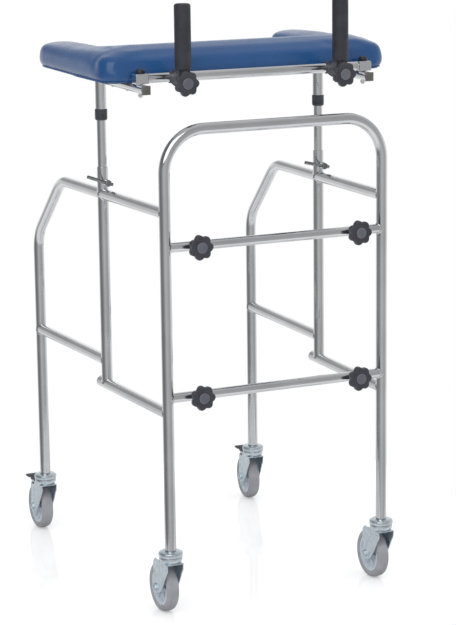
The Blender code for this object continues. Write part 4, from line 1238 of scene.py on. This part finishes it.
for word, hand in HANDS:
    face = rail_point(hand, RAIL_START)
    bpy.ops.mesh.primitive_cube_add(size=1, location=(face.x, face.y - CAP_MIDDLE, face.z))
    cap = bpy.context.object
    cap.name = "rail_cap_" + word
    cap.scale = (CAP_SIDE, CAP_DEPTH, CAP_SIDE)
    settle(cap)
    pick_faces(cap, lambda part: part.normal.y < -FACING)
    bpy.ops.mesh.inset(thickness=CAP_RIM)
    bpy.ops.transform.translate(value=(0, -CAP_STEP, 0))
    bpy.ops.object.mode_set(mode="OBJECT")
    soften(cap, 0.0006, 3)
    stem = turned(
        "stem",
        [(0.0068, 0.0), (0.0073, 0.0012), (0.0073, 0.0060), (0.0066, 0.0066)],
        sides=32,
        place=Matrix.Translation(face - Vector((0, STEM_START, 0))) @ Matrix.Rotation(-math.pi / 2, 4, "X"),
    )
    cap = join([cap, stem], "rail_cap_" + word)
    hand_over(cap, "carriage", grey_plug, ["armrest_rail_plug_" + word])
print("square plugs: 2")


# %% [markdown]
# ## Cross clamps
#
# A cast block sits over each rail and wraps the end of the cross tube, held by one bolt through both,
# under a glossy black dome. The block starts as a cube whose top is inset and sloped. All edges are
# broken, and then the two tubes are cut out of it with a Boolean modifier. Dome and nut are turned.

# %% Cast the cross clamps
def drill(piece, start, end, radius, sides=40):
    """Cuts a round hole from start to end."""
    along = end - start
    hole = turned(
        "drill",
        [(radius, 0), (radius, along.length)],
        sides=sides,
        place=Matrix.Translation(start) @ along.to_track_quat("Z", "Y").to_matrix().to_4x4(),
    )
    finish(piece, "BOOLEAN", operation="DIFFERENCE", solver="EXACT", object=hole)
    bpy.data.objects.remove(hole)


BLOCK_TOP = CROSS_Z + BAR_R + 0.0008
BLOCK_BOTTOM = CARRIAGE_Z + 0.0095
BLOCK_WIDTH = 0.027
BLOCK_DEPTH = 0.0225
SADDLE_SLOPE = 0.0016
SADDLE_RIM = 0.0022
RAIL_BORE = (0.04, 0.14)
BORE_PAST_MIDDLE = 0.011
DRILL_REACH = 0.03
ON_LINE = 1e-5

for word, hand in HANDS:
    x = hand * CARRIAGE_X
    bpy.ops.mesh.primitive_cube_add(size=1, location=(x, CROSS_Y, (BLOCK_BOTTOM + BLOCK_TOP) / 2))
    block = bpy.context.object
    block.name = "clamp_block_" + word
    block.scale = (BLOCK_WIDTH, BLOCK_DEPTH, BLOCK_TOP - BLOCK_BOTTOM)
    settle(block)
    pick_faces(block, lambda part: part.normal.z > FACING)
    bpy.ops.mesh.inset(thickness=SADDLE_RIM)
    bpy.ops.object.mode_set(mode="OBJECT")
    for corner in block.data.vertices:
        on_rim = abs(abs(corner.co.x - x) - BLOCK_WIDTH / 2) < ON_LINE
        if corner.co.z > BLOCK_TOP - ON_LINE and on_rim:
            corner.co.z -= SADDLE_SLOPE
    soften(block, 0.0016, 4)
    bore_start, bore_end = RAIL_BORE
    drill(block, rail_point(hand, bore_start), rail_point(hand, bore_end), BAR_R + GAP)
    far_side = Vector((x + hand * BORE_PAST_MIDDLE, CROSS_Y, CROSS_Z))
    drill(block, far_side, Vector((x - hand * DRILL_REACH, CROSS_Y, CROSS_Z)), BAR_R + GAP)
    dome = turned(
        "dome",
        [
            (0.0090, -0.0030),
            (0.0094, 0.0003),
            (0.0095, 0.0030),
            (0.0091, 0.0052),
            (0.0080, 0.0071),
            (0.0062, 0.0084),
            (0.0040, 0.0090),
            (0.0018, 0.0092),
        ],
        place=Matrix.Translation((x, CROSS_Y, BLOCK_TOP)),
    )
    dome.data.materials.append(glossy_black)
    nut_top = CARRIAGE_Z - BAR_R - GAP
    nut = turned(
        "nut",
        [
            (0.0030, -0.0070),
            (0.0030, -0.0050),
            (0.0050, -0.0050),
            (0.0055, -0.0046),
            (0.0055, -0.0002),
            (0.0050, 0),
        ],
        sides=6,
        place=Matrix.Translation((x, CROSS_Y, nut_top)),
    )
    soften(nut, FINE_EDGE)
    block.data.materials.append(chrome)
    nut.data.materials.append(chrome)
    block = join([block, dome, nut], "clamp_block_" + word)
    hand_over(block, "carriage", None, ["cross_clamp_" + word])
print("cross clamps top at", round(BLOCK_TOP, 4))


# %% [markdown]
# ## Hand grips and their clamps
#
# Each grip is a straight black sleeve on a moulded clamp that wraps the cross tube. The clamp is cut as
# a plate with the outline of its side, rounded all over and drilled for the tube. The sleeve is turned
# with a rounded top and a shallow ring above its foot.

# %% Mould the grips
GRIP_X = 0.1695
GRIP_Y = FRONT_Y + 0.050
CLAMP_TOP_Z = CROSS_Z + 0.0176
SCREW_DROP = 0.0083
FOOT_DROP = 0.0070
CLAMP_FOOT_Z = CROSS_Z - SCREW_DROP - FOOT_DROP
CLAMP_FRONT_Y = FRONT_Y + 0.0435
CLAMP_NECK_Y = FRONT_Y + 0.0665
CLAMP_HALF = 0.0125
WRAP_R = BAR_R + 0.0022
CORE_R = 0.0094
CORE_SUNK = 0.002
CORE_LENGTH = 0.06
SLEEVE_BORE_R = 0.0098
SLEEVE_R = 0.0160
TOP_ROUND = 0.0050

for word, hand in HANDS:
    x = hand * GRIP_X
    outline = [(CLAMP_FRONT_Y, CLAMP_FOOT_Z), (CLAMP_FRONT_Y, CLAMP_TOP_Z), (CLAMP_NECK_Y, CLAMP_TOP_Z)]
    for degrees in range(120, -121, -15):
        angle = math.radians(degrees)
        outline.append((CROSS_Y + WRAP_R * math.cos(angle), CROSS_Z + WRAP_R * math.sin(angle)))
    outline.append((CLAMP_NECK_Y, CLAMP_FOOT_Z))
    clamp = plate("grip_clamp_body_" + word, outline, CLAMP_HALF)
    clamp.location.x = x
    settle(clamp)
    soften(clamp, 0.0014, 3, angle=30)
    near_side = Vector((x - DRILL_REACH, CROSS_Y, CROSS_Z))
    drill(clamp, near_side, Vector((x + DRILL_REACH, CROSS_Y, CROSS_Z)), BAR_R + RUN_GAP)
    core_ends = [(CORE_R, CLAMP_TOP_Z - CORE_SUNK), (CORE_R, CLAMP_TOP_Z + CORE_LENGTH)]
    core = turned("core", core_ends, sides=32)
    core.location = (x, GRIP_Y, 0)
    settle(core)
    clamp = join([clamp, core], "grip_clamp_body_" + word)
    hand_over(clamp, "grip_" + word, black_plastic, ["grip_clamp_" + word])

    low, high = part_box("hand_grip_" + word)
    foot, top = low[2], high[2]
    outline = [
        (SLEEVE_BORE_R, foot),
        (0.0142, foot),
        (0.0156, foot + 0.0008),
        (SLEEVE_R, foot + 0.0024),
        (SLEEVE_R, foot + 0.0060),
        (0.0155, foot + 0.0070),
        (0.0155, foot + 0.0078),
        (SLEEVE_R, foot + 0.0088),
        (SLEEVE_R, top - TOP_ROUND),
    ]
    for degrees in (20, 40, 60, 80):
        angle = math.radians(degrees)
        outline.append((
            SLEEVE_R - TOP_ROUND + TOP_ROUND * math.cos(angle),
            top - TOP_ROUND + TOP_ROUND * math.sin(angle),
        ))
    outline += [(0.0080, top), (0.0040, top)]
    sleeve = turned("grip_sleeve_" + word, outline, sides=56, place=Matrix.Translation((x, GRIP_Y, 0)))
    hand_over(sleeve, "grip_" + word, grip_sleeve, ["hand_grip_" + word])
print("grips reach", round(top, 3), "m")


# %% [markdown]
# ## Swivel casters
#
# A caster is a stem with a bearing race under the leg, a fork that swivels on it, and a wheel that trails
# behind the swivel. The fork is folded from one zinc-plated sheet: a solid with the fork's side outline
# loses its open faces, Solidify gives the sheet its thickness, and a bevel rolls over its two long top
# edges. One caster is drawn at the origin and copied to the four legs.

# %% Press the forks and races
WHEEL_R = 0.050
TRAIL = 0.035
FORK_TOP_Z = 0.1095
LOWER_RACE_Z = 0.1205
FORK_INNER = 0.031
FORK_PLATE = 0.0025
FORK_HALF = FORK_INNER / 2 + FORK_PLATE
EYE_R = 0.0125
ROOF_END = 0.0245
NUT_THICKNESS = 0.0045
STEM_TOP_Z = 0.178

outline = [(-0.0220, FORK_TOP_Z), (-0.0220, FORK_TOP_Z - 0.0095), (-0.0205, FORK_TOP_Z - 0.0150)]
outline += [(-0.0160, FORK_TOP_Z - 0.0205), (-0.0045, 0.0690), (0.0080, 0.0520), (0.0175, 0.0430)]
for degrees in range(225, 371, 10):
    angle = math.radians(degrees)
    outline.append((TRAIL + EYE_R * math.cos(angle), WHEEL_R + EYE_R * math.sin(angle)))
outline += [(0.0462, 0.0700), (0.0475, FORK_TOP_Z - 0.0195), (0.0455, FORK_TOP_Z - 0.0075)]
outline += [(0.0380, FORK_TOP_Z), (ROOF_END, FORK_TOP_Z)]
shell = plate("fork_pattern", outline, FORK_HALF)


def is_open(part):
    """True for the faces round the outline, but for the roof in front."""
    on_roof = part.center.z > FORK_TOP_Z - ON_LINE and part.center.y < ROOF_END
    return abs(part.normal.x) < 0.5 and not on_roof


pick_faces(shell, is_open)
bpy.ops.mesh.delete(type="FACE")
bpy.ops.object.mode_set(mode="OBJECT")
finish(shell, "SOLIDIFY", thickness=FORK_PLATE, offset=-1)
soften(shell, 0.0028, 4, angle=80)
race = turned(
    "lower_race",
    [
        (0.0150, FORK_TOP_Z - 0.0008),
        (0.0196, FORK_TOP_Z - 0.0004),
        (0.0212, FORK_TOP_Z + 0.0018),
        (0.0228, FORK_TOP_Z + 0.0050),
        (0.0230, FORK_TOP_Z + 0.0068),
        (0.0230, LOWER_RACE_Z - 0.0008),
        (0.0224, LOWER_RACE_Z),
        (0.0100, LOWER_RACE_Z),
    ],
    sides=64,
)
wheel_place = Matrix.Translation((0, TRAIL, WHEEL_R)) @ Matrix.Rotation(math.pi / 2, 4, "Y")
nut_end = FORK_HALF + NUT_THICKNESS
bolt = turned(
    "axle",
    [
        (0.0030, -nut_end - 0.0020),
        (0.0040, -nut_end - 0.0012),
        (0.0040, nut_end + 0.0012),
        (0.0030, nut_end + 0.0020),
    ],
    sides=28,
    place=wheel_place,
)
axle_nuts = []
for side in (-1, 1):
    axle_nuts.append(turned(
        "axle_nut",
        [(0.0068, FORK_HALF - 0.0010), (0.0075, FORK_HALF), (0.0075, nut_end - 0.0007), (0.0066, nut_end)],
        sides=6,
        place=wheel_place @ Matrix.Rotation(0 if side > 0 else math.pi, 4, "Y"),
    ))
    soften(axle_nuts[-1], 0.0004)
fork_pattern = join([shell, race, bolt] + axle_nuts, "fork_pattern")
fork_pattern.data.materials.append(zinc)

stem_pattern = turned(
    "stem_pattern",
    [
        (0.0068, FORK_TOP_Z - FORK_PLATE - 0.0034),
        (0.0084, FORK_TOP_Z - FORK_PLATE - 0.0030),
        (0.0085, FORK_TOP_Z - FORK_PLATE - 0.0004),
        (0.0055, FORK_TOP_Z - FORK_PLATE - 0.0004),
        (0.0055, LOWER_RACE_Z + RUN_GAP),
        (0.0220, LOWER_RACE_Z + RUN_GAP),
        (0.0234, LOWER_RACE_Z + 0.0012),
        (0.0240, LOWER_RACE_Z + 0.0030),
        (0.0240, LEG_BOTTOM_Z - 0.0052),
        (0.0234, LEG_BOTTOM_Z - 0.0034),
        (0.0214, LEG_BOTTOM_Z - 0.0020),
        (0.0150, LEG_BOTTOM_Z - 0.0004),
        (0.0088, LEG_BOTTOM_Z - 0.0003),
        (0.0088, STEM_TOP_Z),
    ],
    sides=64,
)
print("fork faces:", len(fork_pattern.data.polygons))


# %% [markdown]
# ## Wheels
#
# A grey rubber tyre is moulded round a pale plastic hub. The tyre is turned as a closed ring, with a
# fine mould line round the middle of its tread. The hub has a rim, a thin web and a boss, and six ribs
# that stiffen the web on both sides.

# %% Mould the wheels
RIBS = 6
RIB_LENGTH = 0.0205
RIB_WIDTH = 0.0020
RIB_HEIGHT = 0.0150
RIB_TAPER = 0.93


def ring_outline(half):
    """One half of a symmetric outline, and its mirror image after it."""
    return half + [(radius, -height) for radius, height in reversed(half)]


tyre_pattern = turned(
    "tyre_pattern",
    ring_outline([
        (0.0380, 0.0100),
        (0.0395, 0.0118),
        (0.0430, 0.0125),
        (0.0457, 0.0120),
        (0.0478, 0.0102),
        (0.0491, 0.0076),
        (0.0497, 0.0050),
        (0.0498, 0.0042),
        (0.0498, 0.0010),
        (0.0500, 0.0004),
    ]),
    sides=96,
    hollow=True,
)
tyre_pattern.data.materials.append(tyre_rubber)

hub_pattern = turned(
    "hub_pattern",
    ring_outline([
        (0.0377, 0.0098),
        (0.0345, 0.0104),
        (0.0325, 0.0100),
        (0.0313, 0.0088),
        (0.0296, 0.0040),
        (0.0140, 0.0038),
        (0.0118, 0.0070),
        (0.0104, 0.0146),
        (0.0098, 0.0152),
        (0.0046, 0.0152),
    ]),
    sides=72,
    hollow=True,
)
ribs = []
for count in range(RIBS):
    bpy.ops.mesh.primitive_cube_add(size=1, location=(RIB_LENGTH, 0, 0))
    rib = bpy.context.object
    rib.scale = (RIB_LENGTH, RIB_WIDTH, RIB_HEIGHT)
    settle(rib)
    for corner in rib.data.vertices:
        if corner.co.x > RIB_LENGTH:
            corner.co.z *= RIB_TAPER
    soften(rib, 0.0005)
    rib.matrix_world = Matrix.Rotation(math.radians(360 / RIBS * (count + 0.5)), 4, "Z")
    settle(rib)
    ribs.append(rib)
hub_pattern = join([hub_pattern] + ribs, "hub_pattern")
hub_pattern.data.materials.append(hub_plastic)
print("tyre faces:", len(tyre_pattern.data.polygons), "hub faces:", len(hub_pattern.data.polygons))


# %% [markdown]
# ## Brake pedals
#
# Only the rear casters have a brake: a black lever on a pin across the fork, with a wider tab behind for
# the foot. The lever is a plate cut to its side outline, and the tab is a cube with three ridges pulled
# up out of it against slipping.

# %% Mould the pedals
PIN_Y = 0.031
PIN_Z = 0.1040
LEVER_HALF = 0.013
TAB_MIDDLE = (0, 0.0395, 0.0065)
TAB_SIZE = (0.034, 0.0190, 0.0034)
RIDGE_START = 0.0330
RIDGE_WIDTH = 0.0025
RIDGES = 3
RIDGE_RIM = 0.0004
RIDGE_RISE = 0.0006

lever = plate(
    "pedal_pattern",
    [
        (-0.0035, -0.0024),
        (0.0010, -0.0026),
        (0.0190, -0.0020),
        (0.0250, 0.0000),
        (0.0330, 0.0048),
        (0.0350, 0.0048),
        (0.0350, 0.0072),
        (0.0290, 0.0075),
        (0.0190, 0.0038),
        (-0.0020, 0.0032),
        (-0.0035, 0.0020),
    ],
    LEVER_HALF,
)
soften(lever, 0.0008, 3, angle=25)
bpy.ops.mesh.primitive_cube_add(size=1, location=TAB_MIDDLE)
tab = bpy.context.object
tab.scale = TAB_SIZE
settle(tab)
bpy.ops.object.mode_set(mode="EDIT")
for cut in range(2 * RIDGES):
    bpy.ops.mesh.select_all(action="SELECT")
    bpy.ops.mesh.bisect(plane_co=(0, RIDGE_START + RIDGE_WIDTH * cut, 0), plane_no=(0, 1, 0))
bpy.ops.object.mode_set(mode="OBJECT")
ridge_middles = [RIDGE_START + RIDGE_WIDTH * (2 * row + 0.5) for row in range(RIDGES)]


def is_ridge(part):
    """True for the strips on top that become ridges."""
    return part.normal.z > FACING and any(abs(part.center.y - y) < RIDGE_WIDTH / 4 for y in ridge_middles)


pick_faces(tab, is_ridge)
bpy.ops.mesh.inset(thickness=RIDGE_RIM)
bpy.ops.mesh.extrude_region_move(TRANSFORM_OT_translate={"value": (0, 0, RIDGE_RISE)})
bpy.ops.object.mode_set(mode="OBJECT")
soften(tab, 0.0005, 2)
pin = turned(
    "pin",
    [(0.0020, -0.0195), (0.0025, -0.0189), (0.0025, 0.0189), (0.0020, 0.0195)],
    sides=24,
    place=Matrix.Rotation(math.pi / 2, 4, "Y"),
)
pedal_pattern = join([lever, tab, pin], "pedal_pattern")
pedal_pattern.location = (0, PIN_Y, PIN_Z)
settle(pedal_pattern)
pedal_pattern.data.materials.append(black_plastic)
print("pedal faces:", len(pedal_pattern.data.polygons))


# %% [markdown]
# ## Put the casters together
#
# Each leg gets a copy of every caster part. The rear right caster has swivelled a few degrees, so the
# place of a copy is its swivel axis and a turn about it.

# %% Place the casters
CASTERS = (
    ("front_left", Vector((-FRONT_HALF, FRONT_Y, 0)), 0.0),
    ("front_right", Vector((FRONT_HALF, FRONT_Y, 0)), 0.0),
    ("rear_left", Vector((-REAR_HALF, FRONT_Y + DEPTH, 0)), 0.0),
    ("rear_right", Vector((REAR_HALF, FRONT_Y + DEPTH, 0)), math.radians(-6.5)),
)
for corner_name, spot, swivel in CASTERS:
    caster = Matrix.Translation(spot) @ Matrix.Rotation(swivel, 4, "Z")
    stem = copy_of(stem_pattern, "race_and_stem_" + corner_name, caster)
    hand_over(stem, "frame", zinc, ["caster_stem_" + corner_name])
    fork = copy_of(fork_pattern, "fork_" + corner_name, caster)
    hand_over(fork, "caster_" + corner_name, None, ["caster_fork_" + corner_name])
    hub = copy_of(hub_pattern, "hub_" + corner_name, caster @ wheel_place)
    hand_over(hub, "wheel_" + corner_name, None, ["caster_hub_" + corner_name])
    tyre = copy_of(tyre_pattern, "tyre_" + corner_name, caster @ wheel_place)
    hand_over(tyre, "wheel_" + corner_name, None, ["caster_tyre_" + corner_name])
    if corner_name.startswith("rear"):
        word = corner_name[5:]
        pedal = copy_of(pedal_pattern, "pedal_" + word, caster)
        hand_over(pedal, "brake_pedal_" + word, None, ["brake_pedal_" + word])
for pattern in (stem_pattern, fork_pattern, hub_pattern, tyre_pattern, pedal_pattern):
    bpy.data.objects.remove(pattern)
print("casters:", len(CASTERS))


# %% [markdown]
# ## The forearm pad
#
# The pad is foam on a plywood board under one stretched sheet of vinyl. A smooth solid would look like
# plastic, so the sheet is simulated. A copy of the pad's solid is shrunk a little, remeshed into even
# squares and blown up from inside by Blender's Cloth, while the band that wraps the board is held still.
# No point may travel further than a cap. Then the lower edge is tucked in, where the sheet turns under
# the board, and one subdivision smooths the result. Smoothing lifts that edge a little, so it is drawn
# down again until it is flush with the board.

# %% Stretch the vinyl over the pad
PAD_BOTTOM_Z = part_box("pad_board")[0][2]
SAME_SPOT = 0.00002
PAD_SHRINK = 0.0026
SHRINK_BAND = (0.012, 0.022)
HELD_BAND = (0.014, 0.024)
PAD_SQUARE = 0.005
PAD_CAP = 0.0055
CLOTH_FRAMES = 20

pad_mesh = nodes["forearm_pad"].data.copy()
pad = bpy.data.objects.new("forearm_cushion", pad_mesh)
bpy.context.scene.collection.objects.link(pad)
take(pad)
bpy.ops.object.mode_set(mode="EDIT")
bpy.ops.mesh.select_all(action="SELECT")
bpy.ops.mesh.remove_doubles(threshold=SAME_SPOT)
bpy.ops.mesh.normals_make_consistent(inside=False)
bpy.ops.object.mode_set(mode="OBJECT")


def height_over_underside(point):
    """How far a point lies above the pad's underside, which leans with the rails."""
    return point.z - PAD_BOTTOM_Z - (point.y - CROSS_Y) * math.tan(CARRIAGE_TILT)


def over_board(point, start, end):
    """0 beside the board and 1 on the open foam, going over from start to end above the underside."""
    return min(1.0, max(0.0, (height_over_underside(point) - start) / (end - start)))


finish(pad, "SUBSURF", subdivision_type="SIMPLE", levels=2, render_levels=2)
pad.data.update()
outward = [corner.normal.copy() for corner in pad.data.vertices]
for corner, normal in zip(pad.data.vertices, outward):
    corner.co -= normal * PAD_SHRINK * over_board(corner.co, *SHRINK_BAND)
pad.data.remesh_voxel_size = PAD_SQUARE
take(pad)
bpy.ops.object.voxel_remesh()
finish(pad, "SMOOTH", factor=0.5, iterations=4)
held = pad.vertex_groups.new(name="held")
for corner in pad.data.vertices:
    held.add([corner.index], 1 - over_board(corner.co, *HELD_BAND), "REPLACE")
before = [corner.co.copy() for corner in pad.data.vertices]
take(pad)
cloth = pad.modifiers.new("cloth", "CLOTH")
cloth.settings.use_pressure = True
cloth.settings.uniform_pressure_force = 4
cloth.settings.effector_weights.gravity = 0
cloth.settings.vertex_group_mass = "held"
cloth.settings.tension_stiffness = 12
cloth.settings.compression_stiffness = 12
cloth.settings.bending_stiffness = 1.5
for step in range(1, CLOTH_FRAMES + 1):
    bpy.context.scene.frame_set(step)
bpy.ops.object.modifier_apply(modifier=cloth.name)
bpy.context.scene.frame_set(1)
for corner, start in zip(pad.data.vertices, before):
    travel = corner.co - start
    if travel.length > PAD_CAP:
        corner.co = start + travel * PAD_CAP / travel.length
finish(pad, "SMOOTH", factor=0.5, iterations=12)

EDGE_HEIGHT = 0.028
EDGE_TUCK = 0.0085
FLUSH = 0.0002
LEVEL_ENOUGH = 0.3
DRAW_GAIN = 1.25
pad.data.update()
outward = [corner.normal.copy() for corner in pad.data.vertices]
for corner, normal in zip(pad.data.vertices, outward):
    sunk = 1 - over_board(corner.co, 0.0, EDGE_HEIGHT)
    sideways = Vector((normal.x, normal.y, 0))
    if sunk > 0 and sideways.length > LEVEL_ENOUGH:
        corner.co -= sideways.normalized() * EDGE_TUCK * (1 - math.sqrt(max(0.0, 1 - sunk * sunk)))
finish(pad, "SMOOTH", factor=0.5, iterations=2)
finish(pad, "SUBSURF", levels=1, render_levels=1)
lifted = min(height_over_underside(corner.co) for corner in pad.data.vertices) + FLUSH
for corner in pad.data.vertices:
    sunk = max(0.0, 1 - height_over_underside(corner.co) / EDGE_HEIGHT)
    corner.co.z -= lifted * min(1.0, sunk * DRAW_GAIN)
hand_over(pad, "carriage", vinyl, ["forearm_pad"], angle=PAD_ANGLE)
moved = max((corner.co - start).length for corner, start in zip(pad.data.vertices, before))
print("pad faces:", len(pad.data.polygons), "furthest move:", round(moved, 4))


# %% [markdown]
# ## The board under the pad
#
# The plywood board keeps its measured solid, which is already right: a flat horseshoe. It only gets its
# dark blue-grey colour, with the layers showing round its edge.

# %% Finish the board
board = nodes["pad_board"]
board.data.materials.clear()
board.data.materials.append(dark_board)
print("board finish:", board.data.materials[0].name)


# %% [markdown]
# ## The underside of the pad
#
# Turned over, the pad shows how it was upholstered: the vinyl is folded under the board and stapled in a
# row, and screws hold the board to the rails. The folded strip is the board's own underside, inset, with
# its middle taken out. One staple and one screw are modelled and copied, the staples along the board's
# outline.

# %% Fold the hem under and staple it
HEM_WIDTH = 0.017
HEM_THICKNESS = 0.0007
STAPLE_STEP = 0.034
STAPLE_LENGTH = 0.0105
STAPLE_WIDTH = 0.0010
STAPLE_THICKNESS = 0.0008
STAPLE_SHARE = 0.55
SCREW_SPOTS = (0.150, 0.225, 0.360, 0.430)

hem = bpy.data.objects.new("vinyl_hem", board.data.copy())
bpy.context.scene.collection.objects.link(hem)
take(hem)
bpy.ops.object.mode_set(mode="EDIT")
bpy.ops.mesh.select_mode(type="VERT")
bpy.ops.mesh.select_all(action="SELECT")
bpy.ops.mesh.remove_doubles(threshold=SAME_SPOT)
bpy.ops.mesh.dissolve_limited(angle_limit=math.radians(1))
pick_faces(hem, lambda part: part.normal.z > -FACING)
bpy.ops.mesh.delete(type="FACE")
bpy.ops.object.mode_set(mode="OBJECT")
underside = max(hem.data.polygons, key=lambda part: part.area)
outline = [hem.data.vertices[number].co.copy() for number in underside.vertices]
facing = underside.normal.copy()
bpy.ops.object.mode_set(mode="EDIT")
bpy.ops.mesh.select_mode(type="FACE")
bpy.ops.mesh.select_all(action="SELECT")
bpy.ops.mesh.inset(thickness=HEM_WIDTH)
bpy.ops.mesh.delete(type="FACE")
bpy.ops.object.mode_set(mode="OBJECT")
finish(hem, "SOLIDIFY", thickness=HEM_THICKNESS, offset=1)
hand_over(hem, "carriage", vinyl)

bpy.ops.mesh.primitive_cube_add(size=1)
staple = bpy.context.object
staple.scale = (STAPLE_LENGTH, STAPLE_WIDTH, STAPLE_THICKNESS)
settle(staple)
soften(staple, FINE_EDGE)
row = []
left_over = STAPLE_STEP / 2
for start, end in zip(outline, outline[1:] + outline[:1]):
    along = end - start
    span = along.length
    while left_over < span:
        forward_way = along.normalized()
        inwards = facing.cross(forward_way)
        on_hem = inwards * HEM_WIDTH * STAPLE_SHARE + facing * STAPLE_THICKNESS
        spot = start + forward_way * left_over + on_hem
        turned_to = Matrix((forward_way, inwards, facing)).transposed().to_4x4()
        row.append(copy_of(staple, "staple", Matrix.Translation(spot) @ turned_to))
        left_over += STAPLE_STEP
    left_over -= span
bpy.data.objects.remove(staple)
staple_count = len(row)
hand_over(join(row, "hem_staples"), "carriage", zinc)

screw_pattern = turned(
    "rail_screw",
    [
        (0.0016, 0.0022),
        (0.0022, 0.0008),
        (0.0038, 0.0006),
        (0.0042, 0.0),
        (0.0036, -0.0007),
        (0.0018, -0.0009),
    ],
    sides=28,
)
screws = []
for word, hand in HANDS:
    for back in SCREW_SPOTS:
        spot = rail_point(hand, back) - Vector((0, 0, BAR_R))
        screws.append(copy_of(screw_pattern, "rail_screw", Matrix.Translation(spot)))
bpy.data.objects.remove(screw_pattern)
hand_over(join(screws, "rail_screws"), "carriage", zinc)
print("staples:", staple_count, "screws:", len(HANDS) * len(SCREW_SPOTS))
